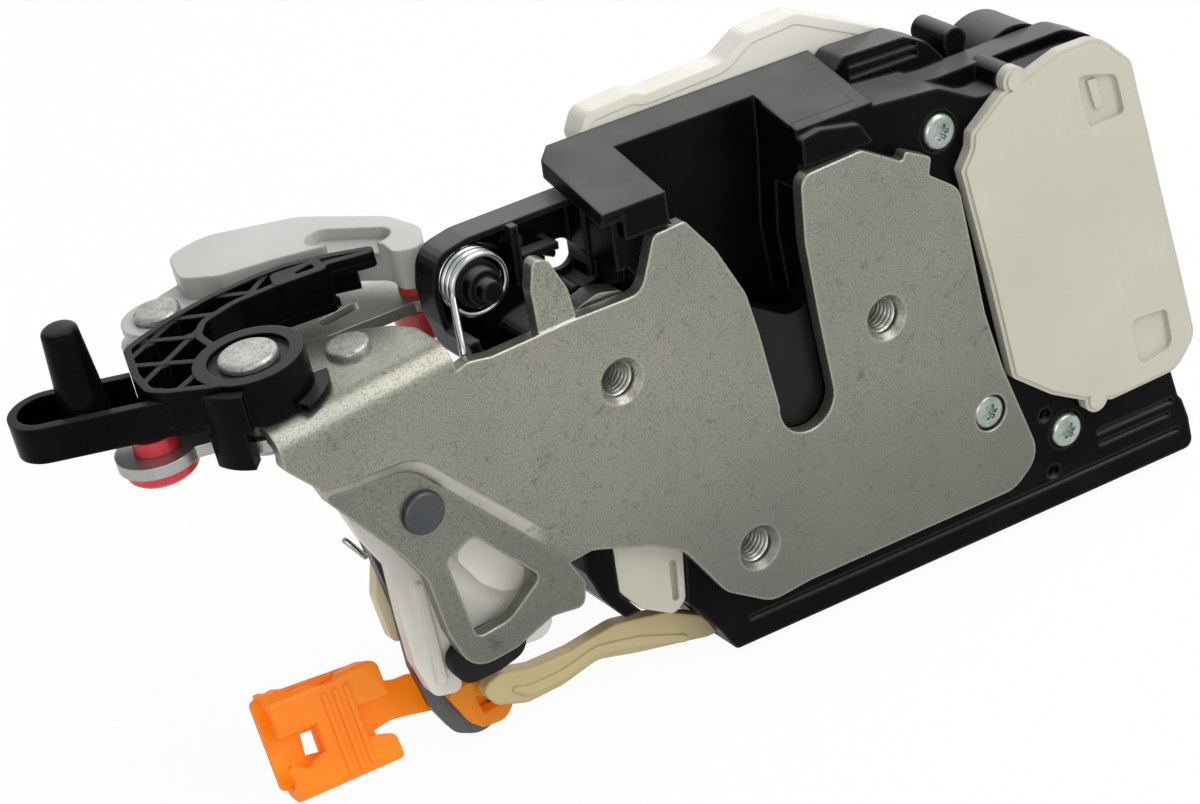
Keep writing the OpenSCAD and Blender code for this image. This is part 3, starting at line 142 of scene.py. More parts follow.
def rounded_normal(nt, radius):
    """The surface's normal as if its edges were rounded."""
    node = nt.nodes.new("ShaderNodeBevel")
    node.samples = BEVEL_SAMPLES
    node.inputs["Radius"].default_value = radius
    return node.outputs["Normal"]


# Layers, each laid over the colour below it
MOTTLE_RANGE = (0.35, 0.68)
CRACK_LEVEL, PATCH_SHARE, PATCH_RANGE = 0.5, 0.9, (0.5, 0.6)
DUST_AND_SHEEN_TILT = (0.55, 0.95)
DUST_AND_SHEEN_SCALE, DUST_AND_SHEEN_RANGE, LEAST_DUST_AND_SHEEN = 90.0, (0.3, 0.65), 0.75
WEAR_AND_HIGHLIGHT_RANGE, WEAR_AND_HIGHLIGHT_REACH = (0.97, 0.8), 1.6


def speckled(nt, place, colour, shade, scale, limits):
    grain = noise(nt, place, scale, detail=2.0, rough=0.7)
    return mix_colour(nt, spread(nt, grain, *limits), colour, shade)


def tinted(nt, place, colour, shade, amount, slopes):
    """Each slope is a way and where along it, in metres, the shade starts and is full."""
    for way, start, end in slopes:
        amount = math_node(nt, "MULTIPLY", spread(nt, dot_product(nt, place, way), start, end), amount)
    return mix_colour(nt, amount, colour, shade)


def cracked(nt, place, colour, shade, scale, width, amount):
    """Fine lines where a noise crosses its middle, in patches."""
    level = noise(nt, place, scale, detail=4.0, rough=0.6, distortion=1.5)
    gap = math_node(nt, "ABSOLUTE", math_node(nt, "SUBTRACT", level, CRACK_LEVEL))
    lines = spread(nt, gap, width, 0.0, 0.0, amount)
    cloud = noise(nt, place, PATCH_SHARE * scale, detail=3.0, rough=0.6, distortion=0.8)
    patches = spread(nt, cloud, *PATCH_RANGE)
    return mix_colour(nt, math_node(nt, "MULTIPLY", lines, patches), colour, shade)


def dusted_with_sheen(nt, place, colour, shade, amount):
    """Painted sheen, partly dust, on the faces that look up."""
    normal = nt.nodes.new("ShaderNodeTexCoord").outputs["Normal"]
    upward = spread(nt, dot_product(nt, normal, (0.0, 0.0, 1.0)), *DUST_AND_SHEEN_TILT, 0.0, amount)
    cloud = noise(nt, place, DUST_AND_SHEEN_SCALE, detail=4.0, rough=0.6)
    cover = math_node(nt, "MULTIPLY", upward, spread(nt, cloud, *DUST_AND_SHEEN_RANGE, LEAST_DUST_AND_SHEEN, 1.0))
    return mix_colour(nt, cover, colour, shade)


def smudged(nt, place, colour, shade, scale, start, end, amount):
    dirt = noise(nt, place, scale, detail=8.0, rough=0.75, distortion=0.6)
    return mix_colour(nt, spread(nt, dirt, start, end, 0.0, amount), colour, shade)


def edge_wear_and_highlight(nt, colour, shade, amount, edge_mm):
    """Painted highlight along the edges, which on metal is partly real wear."""
    flat = nt.nodes.new("ShaderNodeNewGeometry").outputs["True Normal"]
    bent = dot_product(nt, rounded_normal(nt, edge_mm * WEAR_AND_HIGHLIGHT_REACH * MM), flat)
    return mix_colour(nt, spread(nt, bent, *WEAR_AND_HIGHLIGHT_RANGE, 0.0, amount), colour, shade)


def wound(nt, place, relief, axis, scale, distortion):
    """Relief with the bands of a winding."""
    node = nt.nodes.new("ShaderNodeTexWave")
    node.bands_direction = axis
    node.inputs["Scale"].default_value = scale
    node.inputs["Distortion"].default_value = distortion
    node.inputs["Detail"].default_value = 2.0
    feed(nt, place, node.inputs["Vector"])
    return math_node(nt, "ADD", relief, node.outputs["Fac"])


def bumped(nt, relief, strength, depth_mm, edge_mm):
    node = nt.nodes.new("ShaderNodeBump")
    node.inputs["Strength"].default_value = strength
    node.inputs["Distance"].default_value = depth_mm * MM
    feed(nt, relief, node.inputs["Height"])
    if edge_mm:
        feed(nt, rounded_normal(nt, edge_mm * MM), node.inputs["Normal"])
    return node.outputs["Normal"]


# Whole materials
ROUGH_RANGE, LEAST_ROUGH = (0.3, 0.7), 0.02
SCATTER_RADIUS, SCATTER_SCALE = (0.8, 0.7, 0.6), 1.2


def surface(
    name, colour, rough, metallic=0.0, specular=0.5, rough_spread=0.06, mottle=None, mottle_scale=60.0,
    speckle=None, speckle_scale=2500.0, speckle_range=(0.62, 0.75), tints=(), cracks=None, dust_and_sheen=None,
    smudge=None, edge=None, edge_mm=0.25, bump=0.25, bump_scale=1800.0, bump_mm=0.02, winding=None,
    subsurface=0.0, transmission=0.0, translucent=0.0,
):
    """A material with noise in its colour, roughness and relief, and with rounded edges."""
    material, nt, out = node_tree(name)
    place = nt.nodes.new("ShaderNodeTexCoord").outputs["Object"]
    cloud = noise(nt, place, mottle_scale, detail=5.0)
    relief = noise(nt, place, bump_scale, detail=3.0, rough=0.6)
    if mottle:
        colour = mix_colour(nt, spread(nt, cloud, *MOTTLE_RANGE), colour, mottle)
    if speckle:
        colour = speckled(nt, place, colour, speckle, speckle_scale, speckle_range)
    for tint in tints:
        colour = tinted(nt, place, colour, *tint)
    if cracks:
        colour = cracked(nt, place, colour, *cracks)
    if dust_and_sheen:
        colour = dusted_with_sheen(nt, place, colour, *dust_and_sheen)
    if smudge:
        colour = smudged(nt, place, colour, *smudge)
    if edge:
        colour = edge_wear_and_highlight(nt, colour, *edge, edge_mm)
    if winding:
        relief = wound(nt, place, relief, *winding)

    shader = nt.nodes.new("ShaderNodeBsdfPrincipled")
    shader.inputs["Metallic"].default_value = metallic
    shader.inputs["Specular IOR Level"].default_value = specular
    shader.inputs["Transmission Weight"].default_value = transmission
    shader.inputs["Subsurface Weight"].default_value = subsurface
    shader.inputs["Subsurface Radius"].default_value = SCATTER_RADIUS
    shader.inputs["Subsurface Scale"].default_value = SCATTER_SCALE * MM
    least = max(LEAST_ROUGH, rough - rough_spread)
    feed(nt, spread(nt, cloud, *ROUGH_RANGE, least, rough + rough_spread), shader.inputs["Roughness"])
    feed(nt, colour, shader.inputs["Base Color"])
    feed(nt, bumped(nt, relief, bump, bump_mm, edge_mm), shader.inputs["Normal"])
    result = shader.outputs["BSDF"]
    if translucent:
        glow = nt.nodes.new("ShaderNodeBsdfTranslucent")
        feed(nt, colour, glow.inputs["Color"])
        result = mix_shader(nt, translucent, result, glow.outputs["BSDF"])
    feed(nt, result, out)
    return material


# Painted shade darkens the plate towards its lower left and low down. Its lobe is darker, and its step carries a
# painted highlight.
PLATE_TONES_AND_PAINTED_LIGHT = (
    ((0.15, 0.153, 0.13), 0.5, [((-0.35, 0.0, 1.0), 0.03, -0.034)]),
    ((0.1, 0.102, 0.088), 0.35, [((0.0, 0.0, -1.0), 0.004, 0.03)]),
    ((0.08, 0.083, 0.075), 0.34, [((0.0, 1.0, 0.0), 0.0012, 0.0019), ((0.0, 0.0, -1.0), -0.027, -0.02)]),
    ((0.6, 0.59, 0.5), 0.65, [
        ((0.0, 1.0, 0.0), 0.0002, 0.0005), ((0.0, -1.0, 0.0), -0.0019, -0.0016),
        ((0.0, 0.0, -1.0), -0.022, -0.016), ((-1.0, 0.0, 0.0), 0.05, 0.053),
    ]),
)

# The lighter edge colours in these materials are painted highlights, on metal partly real wear.
MATERIALS = {
    "zinc_steel": surface(
        "zinc_steel_grain", (0.32, 0.315, 0.257), 0.37, metallic=0.8, rough_spread=0.07,
        mottle=(0.245, 0.25, 0.22), mottle_scale=22.0,
        speckle=(0.125, 0.125, 0.105), speckle_scale=3400.0, speckle_range=(0.46, 0.72),
        tints=PLATE_TONES_AND_PAINTED_LIGHT, cracks=((0.09, 0.09, 0.075), 480.0, 0.022, 0.75),
        smudge=((0.07, 0.07, 0.065), 150.0, 0.6, 0.74, 0.8),
        edge=((0.62, 0.62, 0.55), 0.6), edge_mm=0.5, bump=0.6, bump_scale=3200.0, bump_mm=0.03,
    ),
    "thread_steel": surface(
        "thread_steel_bright", (0.5, 0.5, 0.46), 0.32, metallic=0.9,
        speckle=(0.12, 0.1, 0.08), speckle_scale=1500.0, bump=0.2, bump_scale=1500.0,
    ),
    "rivet_steel": surface(
        "rivet_blue_steel", (0.075, 0.08, 0.082), 0.42, metallic=0.75,
        mottle=(0.06, 0.066, 0.07), mottle_scale=220.0, speckle=(0.03, 0.03, 0.03), speckle_scale=2000.0,
        edge_mm=0.2, bump=0.4, bump_scale=1200.0, bump_mm=0.03,
    ),
    "rivet_zinc": surface(
        "rivet_zinc_bright", (0.4, 0.405, 0.38), 0.42, metallic=0.7,
        mottle=(0.27, 0.275, 0.26), mottle_scale=330.0,
        speckle=(0.18, 0.18, 0.17), speckle_scale=2200.0, speckle_range=(0.5, 0.68),
        bump=0.6, bump_scale=1100.0, bump_mm=0.03,
    ),
    # Its lighter colour on faces that look up is a painted sheen, partly dust.
    "black_plastic": surface(
        "black_moulded", (0.0016, 0.0016, 0.0017), 0.33, specular=0.04, rough_spread=0.08,
        mottle=(0.004, 0.004, 0.004), mottle_scale=90.0,
        speckle=(0.02, 0.02, 0.019), speckle_scale=1300.0, speckle_range=(0.74, 0.84),
        dust_and_sheen=((0.15, 0.15, 0.147), 0.85), edge=((0.05, 0.05, 0.05), 0.6), edge_mm=0.6,
        bump=0.12, bump_scale=2000.0, bump_mm=0.015,
    ),
    # Its lighter colour on faces that look up is a painted sheen, partly dust.
    "black_lever": surface(
        "black_moulded_glossy", (0.0012, 0.0012, 0.0013), 0.28, specular=0.045,
        mottle=(0.003, 0.003, 0.003), mottle_scale=90.0, dust_and_sheen=((0.045, 0.045, 0.044), 0.7),
        edge=((0.03, 0.03, 0.03), 0.5), edge_mm=0.35, bump=0.15, bump_scale=3000.0,
    ),
    "offwhite_plastic": surface(
        "offwhite_moulded", (0.505, 0.487, 0.405), 0.42, mottle=(0.475, 0.457, 0.38), mottle_scale=35.0,
        edge=((0.62, 0.6, 0.53), 0.4), edge_mm=0.35, bump=0.12, bump_scale=2200.0, bump_mm=0.012,
        subsurface=0.08,
    ),
    "cream_plastic": surface(
        "cream_moulded", (0.74, 0.66, 0.46), 0.42, mottle=(0.68, 0.58, 0.38), mottle_scale=50.0,
        edge_mm=0.3, bump=0.1, bump_scale=2000.0, bump_mm=0.012, subsurface=0.1,
    ),
    "guide_white": surface(
        "guide_white_moulded", (0.76, 0.75, 0.68), 0.4, mottle=(0.72, 0.69, 0.58), mottle_scale=45.0,
        edge_mm=0.4, bump=0.1, bump_scale=2000.0, bump_mm=0.012, subsurface=0.15,
    ),
    "white_plastic": surface(
        "white_moulded", (0.86, 0.85, 0.79), 0.34, mottle=(0.82, 0.8, 0.73),
        edge_mm=0.5, bump=0.08, bump_scale=2000.0, bump_mm=0.01, subsurface=0.15, translucent=0.2,
    ),
    "clear_plastic": surface(
        "translucent_nylon", (0.57, 0.57, 0.547), 0.34, mottle=(0.54, 0.54, 0.515), mottle_scale=80.0,
        edge_mm=0.5, bump=0.08, bump_scale=1500.0, bump_mm=0.01, subsurface=0.35, transmission=0.15,
    ),
    "link_plastic": surface(
        "link_moulded", (0.63, 0.54, 0.295), 0.38, mottle=(0.57, 0.475, 0.245),
        edge_mm=0.8, bump=0.14, bump_scale=1500.0, bump_mm=0.015, subsurface=0.15, translucent=0.2,
    ),
    "orange_plastic": surface(
        "orange_nylon", (1.0, 0.42, 0.02), 0.36, mottle=(1.0, 0.5, 0.025), mottle_scale=70.0,
        edge=((1.0, 0.55, 0.06), 0.5), edge_mm=0.6, bump=0.1, bump_scale=1600.0, bump_mm=0.015,
        subsurface=0.3, translucent=0.55,
    ),
    "red_plastic": surface(
        "red_nylon", (0.6, 0.025, 0.04), 0.3, mottle=(0.66, 0.05, 0.06), mottle_scale=120.0,
        edge_mm=0.35, bump=0.08, bump_scale=1600.0, bump_mm=0.01, subsurface=0.2,
    ),
    "bumper_rubber": surface(
        "stop_rubber", (0.004, 0.004, 0.004), 0.5, specular=0.18,
        mottle=(0.008, 0.0075, 0.007), mottle_scale=200.0,
        edge_mm=0.5, bump=0.5, bump_scale=1600.0, bump_mm=0.05,
    ),
    "screw_steel": surface(
        "screw_zinc_green", (0.4, 0.45, 0.43), 0.3, metallic=0.9,
        mottle=(0.24, 0.31, 0.25), mottle_scale=420.0,
        edge=((0.7, 0.72, 0.68), 0.5), edge_mm=0.15, bump=0.2, bump_scale=1500.0,
    ),
    "spring_steel": surface(
        "spring_wire", (0.44, 0.46, 0.46), 0.24, metallic=1.0, rough_spread=0.05,
        mottle=(0.3, 0.32, 0.32), mottle_scale=260.0,
        edge_mm=0.0, bump=0.12, bump_scale=2500.0, bump_mm=0.01,
    ),
    "fork_steel": surface(
        "sheared_steel", (0.3, 0.3, 0.29), 0.36, metallic=0.9,
        mottle=(0.22, 0.22, 0.21), mottle_scale=140.0, bump_scale=1400.0,
    ),
    "jacket_plastic": surface(
        "fork_jacket_black", (0.003, 0.003, 0.0033), 0.3, specular=0.18,
        mottle=(0.006, 0.006, 0.006), mottle_scale=100.0,
        edge_mm=0.4, bump=0.15, bump_scale=2400.0, bump_mm=0.015,
    ),
    "zinc_sheet": surface(
        "zinc_sheet_bright", (0.42, 0.42, 0.4), 0.36, metallic=0.85,
        mottle=(0.34, 0.34, 0.32), mottle_scale=120.0,
        speckle=(0.2, 0.2, 0.19), speckle_scale=2600.0, speckle_range=(0.66, 0.8),
        edge=((0.6, 0.6, 0.57), 0.4), bump=0.35, bump_scale=2000.0,
    ),
    "dark_steel": surface(
        "lock_arm_steel", (0.11, 0.12, 0.13), 0.42, metallic=0.7,
        mottle=(0.08, 0.09, 0.1), mottle_scale=90.0, edge_mm=0.2, bump=0.3, bump_scale=2000.0,
    ),
    "copper": surface(
        "winding_copper", (0.5, 0.2, 0.08), 0.35, metallic=1.0, winding=("Z", 900.0, 1.0), bump=0.5,
    ),
    "contact_brass": surface(
        "contact_brass_strip", (0.6, 0.45, 0.2), 0.3, metallic=1.0, mottle=(0.5, 0.36, 0.15),
    ),
}

# Nodes whose look isn't that of their slot
NODE_MATERIALS = {"guide_cover": "guide_white", "lock_cam": "cream_plastic"}
for part in frame["record"]["subparts"]:
    look = NODE_MATERIALS.get(part["node"], part["material_slot"])
    materials = frame["nodes"][part["node"]].data.materials
    materials.clear()
    materials.append(MATERIALS[look])


# Tools that make pieces
def add_object(name, data):
    o = bpy.data.objects.new(name, data)
    bpy.context.scene.collection.objects.link(o)
    return o


def finish_piece(o, body, material, smooth=True):
    """A piece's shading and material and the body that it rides."""
    for poly in o.data.polygons:
        poly.use_smooth = smooth
    o.data.materials.clear()
    o.data.materials.append(MATERIALS[material])
    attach(o, body)


def mesh_piece(name, verts, faces, body, slot, material=None, smooth=True):
    me = bpy.data.meshes.new(name)
    me.from_pydata([Vector(v) * MM for v in verts], [], faces)
    me.validate()
    me.update()
    o = add_object(name, me)
    finish_piece(o, body, material or slot, smooth)
    return o


def ring_sides(low, high, count):
    """Faces between two rings of count points that start at low and at high."""
    return [(low + k, low + (k + 1) % count, high + (k + 1) % count, high + k) for k in range(count)]


WIRE_SIDES = 12


def wire(name, points, radius, body, replaced):
    """A round steel wire swept along points, in place of a CAD node."""
    path = [Vector(p) for p in points]
    up = (path[1] - path[0]).orthogonal()
    verts, faces = [], []
    for i, here in enumerate(path):
        way = (path[min(i + 1, len(path) - 1)] - path[max(i - 1, 0)]).normalized()
        up = (up - way * up.dot(way)).normalized()
        side = way.cross(up)
        for k in range(WIRE_SIDES):
            a = 2 * math.pi * k / WIRE_SIDES
            verts.append(here + radius * (math.cos(a) * up + math.sin(a) * side))
        if i:
            faces += ring_sides((i - 1) * WIRE_SIDES, i * WIRE_SIDES, WIRE_SIDES)
    faces.append(tuple(reversed(range(WIRE_SIDES))))
    faces.append(tuple(range(len(verts) - WIRE_SIDES, len(verts))))
    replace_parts(mesh_piece(name, verts, faces, body, "spring_steel"), replaced)


CURVE_STEPS = 6


def smooth_path(points):
    """A Catmull-Rom curve through points."""
    pts = [Vector(p) for p in points]
    out = []
    for i in range(len(pts) - 1):
        start, end = pts[i], pts[i + 1]
        before, after = pts[max(i - 1, 0)], pts[min(i + 2, len(pts) - 1)]
        for k in range(CURVE_STEPS):
            t = k / CURVE_STEPS
            square = 2 * before - 5 * start + 4 * end - after
            cube = 3 * start - before - 3 * end + after
            out.append(0.5 * (2 * start + (end - before) * t + square * t ** 2 + cube * t ** 3))
    return out + [pts[-1]]


COIL_STEPS = 40


def coil(centre, radius, front, pitch, start, turns):
    """A coil round a centre (x, z) that winds backwards from the start angle."""
    out = []
    for i in range(round(turns * COIL_STEPS) + 1):
        a = math.radians(start - 360 * i / COIL_STEPS)
        x, z = centre[0] + radius * math.cos(a), centre[1] + radius * math.sin(a)
        out.append((x, front + pitch * i / COIL_STEPS, z))
    return out


# Thread crests in the three M6 mounting holes
THREAD_START, THREAD_END, THREAD_PITCH = 1.5, 8.8, 1.0
THREAD_ROOT_R, THREAD_CREST_R = 3.005, 2.56
THREAD_PROFILE = [
    (THREAD_ROOT_R, -0.47), (THREAD_CREST_R, -0.08), (THREAD_CREST_R, 0.08), (THREAD_ROOT_R, 0.47),
]
THREAD_STEPS, THREAD_FADE_STEPS = 48, 20.0


def thread(name, x, z):
    verts, faces = [], []
    total = int((THREAD_END - THREAD_START) / THREAD_PITCH * THREAD_STEPS)
    count = len(THREAD_PROFILE)
    for i in range(total + 1):
        a = 2 * math.pi * i / THREAD_STEPS
        y = THREAD_START + THREAD_PITCH * i / THREAD_STEPS
        fade = min(1.0, i / THREAD_FADE_STEPS, (total - i) / THREAD_FADE_STEPS)
        for r, dy in THREAD_PROFILE:
            r = THREAD_ROOT_R + (r - THREAD_ROOT_R) * fade
            verts.append((x + r * math.cos(a), y + dy * THREAD_PITCH, z + r * math.sin(a)))
        if i:
            low, high = (i - 1) * count, i * count
            faces += [(low + k, low + k + 1, high + k + 1, high + k) for k in range(count - 1)]
    mesh_piece(name, verts, faces, "frame", "zinc_steel", "thread_steel")


for mount in frame["record"]["mounts"]:
    if mount["kind"] == "threaded_hole":
        thread(mount["name"], mount["pos_m"][0] / MM, mount["pos_m"][2] / MM)

# The torsion spring of the release levers, on its post
SPRING_POST, SPRING_R, SPRING_WIRE_R = (-51.8, 36.9), 4.9, 0.61
SPRING_FRONT, SPRING_PITCH, SPRING_TURNS, SPRING_START = 7.4, 1.29, 5.3, 180


def release_spring():
    turns = coil(SPRING_POST, SPRING_R, SPRING_FRONT, SPRING_PITCH, SPRING_START, SPRING_TURNS)
    back = turns[-1][1]
    leg_down = smooth_path([(-58.6, 3.4, 27.2), (-58.3, 3.7, 29.6), (-57.6, 5.4, 33), turns[0]])[:-1]
    leg_side = [(-49.0, back, 41.1), (-42, back, 37.7), (-34.6, back, 34.0)]
    wire("release_spring_wire", leg_down + turns + leg_side, SPRING_WIRE_R, "frame", "release_spring")


# The wire at the pawl's window, in one plane
PAWL_WIRE_Y, PAWL_WIRE_R = 8.2, 0.4
PAWL_WIRE = [(-26.2, 24.4), (-25.9, 31), (-25.6, 37.4), (-24.05, 38.4)]


def pawl_spring():
    path = smooth_path([(x, PAWL_WIRE_Y, z) for x, z in PAWL_WIRE])
    wire("pawl_spring_wire", path, PAWL_WIRE_R, "frame", "pawl_spring")


# The over-centre spring winds round the lock lever's pivot and ends in a hook
TOGGLE_R, TOGGLE_WIRE_R, TOGGLE_Y = 5.2, 0.5, 17.4
TOGGLE_PITCH, TOGGLE_TURNS, TOGGLE_START = 0.9, 1.7, 40


def toggle_spring():
    joint = [j for j in frame["joints"] if j["name"] == "lock_turn"][0]
    pivot = (joint["pos_m"][0] / MM, joint["pos_m"][2] / MM)
    y = TOGGLE_Y
    leg = [(-62, y, 9.2), (-64, y, 10.6)]
    hook = [(-74.6, y + 0.9, 0.4), (-73.0, y + 0.4, -6.0), (-74.0, y - 0.4, -5.6), (-77.2, y - 0.6, -1.2)]
    turns = coil(pivot, TOGGLE_R, y, TOGGLE_PITCH, TOGGLE_START, TOGGLE_TURNS)
    wire("toggle_spring_wire", leg + turns + hook, TOGGLE_WIRE_R, "lock_lever", "toggle_spring")


release_spring()
pawl_spring()
toggle_spring()

# The guide cover's closed front, level with its rim
PANEL_FRONT, PANEL_BACK = 19.7, 20.9
PANEL = [
    (-22.4, 42.0), (-23.2, 46.5), (-22.0, 50.4), (-19.0, 51.2), (-13.6, 51.4), (-11.6, 50.6), (3.4, 51.1),
    (6.6, 52.2), (10.2, 54.3), (16.8, 54.7), (21.0, 53.6), (29.4, 49.2), (36.0, 45.6), (41.2, 43.4),
    (30.0, 43.0), (19.0, 44.6), (8.0, 42.0),
]


def guide_cover_front():
    count = len(PANEL)
    verts = [(x, y, z) for y in (PANEL_FRONT, PANEL_BACK) for x, z in PANEL]
    faces = [tuple(reversed(range(count))), tuple(range(count, 2 * count))] + ring_sides(0, count, count)
    mesh_piece("guide_cover_front", verts, faces, "frame", "cream_plastic", "guide_white", smooth=False)


guide_cover_front()

# A cap on the sloping lid, whose rim sinks into the lid so that no seam shows
LID_HEIGHT, LID_SLOPE = 44.5123, 0.2487
CAP_LEFT, CAP_RIGHT, CAP_FRONT, CAP_BACK = 6.3, 16.3, 5.7, 10.1
CAP_RIM, CAP_DEPTH, CAP_SUNK, CAP_PROUD = 1.4, 0.7, 0.03, 0.02


def cap_ring(rim, lift):
    """The cap's four corners, further out by the rim and lifted off the lid."""
    left, right, front, back = CAP_LEFT - rim, CAP_RIGHT + rim, CAP_FRONT - rim, CAP_BACK + rim
    corners = [(left, front), (right, front), (right, back), (left, back)]
    return [(x, y, LID_HEIGHT + LID_SLOPE * y + lift) for x, y in corners]


def lid_cap():
    verts = cap_ring(CAP_RIM, -CAP_DEPTH) + cap_ring(CAP_RIM, -CAP_SUNK) + cap_ring(0, CAP_PROUD)
    faces = [(3, 2, 1, 0), (8, 9, 10, 11)] + ring_sides(0, 4, 4) + ring_sides(4, 8, 4)
    mesh_piece("lid_cap", verts, faces, "frame", "black_plastic", smooth=False)


lid_cap()

# The release lever, in the flange's own frame, where z stands on the flange. Corners are (x, y, radius).
FLANGE = Matrix.Translation((-77, 0, 31)) @ Matrix.Rotation(math.radians(-6.6), 4, "Y")
LEVER_PIVOT = Vector((-12, 11.6))
LEVER_FLOOR, LEVER_TOP, WEB_T, RIM_T, HUB_R = 0.4, 8.0, 1.5, 1.25, 8.6
WEB = [
    (-18, 5.6, 2), (-25.8, 12.8, 2), (-27.6, 15.8, 3), (-26.8, 22, 6), (-23.8, 31, 3), (-15, 33.7, 6),
    (-7, 34.4, 8), (1.5, 33.7, 8), (6, 32.6, 5), (12.5, 28.9, 4), (17.9, 24.9, 1.2), (17, 22.9, 1),
    (10.2, 26, 0.6), (9.3, 25, 0.8), (1.2, 27.1, 1), (-5.3, 28, 6), (-11, 27, 3), (-13.4, 24, 3),
    (-13.4, 19, 2),
]
LEVER_BLOCK = [(1.2, 27.1, 1), (9.3, 25, 0.8), (10.4, 29, 1), (2.6, 31.4, 1)]
RIBS = [
    ((-22.0, 32.7), (-14.7, 25.3)), ((-15.0, 34.2), (-8.9, 28.6)), ((-7.5, 35.0), (1.1, 26.8)),
    ((-24.7, 25.3), (-17.6, 17.8)), ((-23.8, 27.9), (-10.7, 34.4)), ((-26.4, 19.0), (-14.9, 25.3)),
    ((-23.5, 12.7), (-19.4, 14.5)), ((-1.4, 29.9), (2.8, 32.8)), ((9.5, 28.9), (12.0, 27.4)),
]
RIB_NODES = [(-20.0, 29.8), (-14.7, 25.6), (-21.5, 21.7), (-14.2, 33.1)]
RIB_HALF_T, RIB_NODE_R, RIB_NODE_SIDES = 0.55, 1.15, 20
RIM_DROP, RIB_DROP, RIB_NODE_DROP = 0.02, 0.3, 0.4
ARM_START, ARM_TIP_T = 10.6, 2.6
ARM_TIP = [(ARM_START, 20), (ARM_START, 34), (21, 30), (21, 20)]
ARM_RIM_START, ARM_FLOOR_START, ARM_FLOOR_T = ARM_START - 0.3, ARM_START - 1.2, 1
WEB_TOP, ARM_LOW = LEVER_FLOOR + WEB_T, LEVER_TOP - ARM_TIP_T

# Solids that touch overlap a little, tops at one height are staggered, and what cuts reaches past
RIM_INSET, SMALL_OVERLAP, OVERLAP, RIB_RUN_ON = 0.03, 0.05, 0.1, 0.5
STAGGER, PAST, WELD = 0.01, 1, 0.001
ROUNDING_STEPS, SIDE_SHARE, LEAST_MITRE = 5, 0.48, 0.5
PARALLEL, SHARP_ANGLE = 1e-9, math.radians(32)


def rounded(points):
    """Corners given as (x, y, radius) become an outline whose corners are tangent arcs."""
    out = []
    for i, (x, y, r) in enumerate(points):
        here = Vector((x, y))
        before, after = Vector(points[i - 1][:2]), Vector(points[(i + 1) % len(points)][:2])
        a, b = (before - here).normalized(), (after - here).normalized()
        half = a.angle(b) / 2
        shorter = min((before - here).length, (after - here).length)
        reach = min(r / math.tan(half), SIDE_SHARE * shorter)
        middle = here + (a + b).normalized() * reach / math.cos(half)
        start, end = here + a * reach - middle, here + b * reach - middle
        first = math.atan2(start.y, start.x)
        turn = (math.atan2(end.y, end.x) - first + math.pi) % (2 * math.pi) - math.pi
        for k in range(ROUNDING_STEPS + 1):
            angle = first + turn * k / ROUNDING_STEPS
            out.append(middle + start.length * Vector((math.cos(angle), math.sin(angle))))
    return out


def inset(outline, width):
    """A clockwise outline moved inwards by width."""
    out = []
    for i, here in enumerate(outline):
        a = (here - outline[i - 1]).normalized()
        b = (outline[(i + 1) % len(outline)] - here).normalized()
        side = Vector((a.y + b.y, -a.x - b.x)).normalized()
        out.append(here + side * width / max(LEAST_MITRE, side.dot(Vector((a.y, -a.x)))))
    return out


def circle(centre, r, sides=64):
    """A clockwise circle."""
    angles = [-2 * math.pi * k / sides for k in range(sides)]
    return [Vector(centre) + r * Vector((math.cos(a), math.sin(a))) for a in angles]


def crossing(start, way, outline):
    """How far the outline lies from start along way."""
    gaps = []
    for i, end in enumerate(outline):
        edge, gap = end - outline[i - 1], outline[i - 1] - start
        turn = way.cross(edge)
        if abs(turn) > PARALLEL:
            along, part = gap.cross(edge) / turn, gap.cross(way) / turn
            if along > 0 and 0 <= part <= 1:
                gaps.append(along)
    return min(gaps, default=math.inf)


def prism(bm, outline, low, high, hole=None):
    """A closed prism, or a ring if a hole with as many points is given. low is a height or a function."""
    under = low if callable(low) else lambda p: low
    rows = [[bm.verts.new(FLANGE @ Vector((p.x, p.y, z(p))) * MM) for p in line]
            for line in (outline, hole or []) for z in (under, lambda p: high)]
    made = []
    for k in range(len(outline)):
        j = (k + 1) % len(outline)
        made.append(bm.faces.new((rows[0][k], rows[0][j], rows[1][j], rows[1][k])))
        if hole:
            made.append(bm.faces.new((rows[2][j], rows[2][k], rows[3][k], rows[3][j])))
            made.append(bm.faces.new((rows[0][j], rows[0][k], rows[2][k], rows[2][j])))
            made.append(bm.faces.new((rows[1][k], rows[1][j], rows[3][j], rows[3][k])))
    if not hole:
        made += [bm.faces.new(rows[0][::-1]), bm.faces.new(rows[1])]
    bmesh.ops.recalc_face_normals(bm, faces=made)


def as_object(bm):
    me = bpy.data.meshes.new("solid")
    bm.to_mesh(me)
    bm.free()
    return add_object("solid", me)


def solid(outline, low, high, hole=None):
    bm = bmesh.new()
    prism(bm, outline, low, high, hole)
    return as_object(bm)


def cut_away(body, tools):
    """The mesh of body without the tools. Body and tools are used up."""
    for tool in tools:
        mod = body.modifiers.new("cut", "BOOLEAN")
        mod.operation = "DIFFERENCE"
        mod.solver = "EXACT"
        mod.object = tool
    bpy.context.view_layer.update()
    me = bpy.data.meshes.new_from_object(body.evaluated_get(bpy.context.evaluated_depsgraph_get()))
    for o in tools + [body]:
        bpy.data.objects.remove(o)
    return me


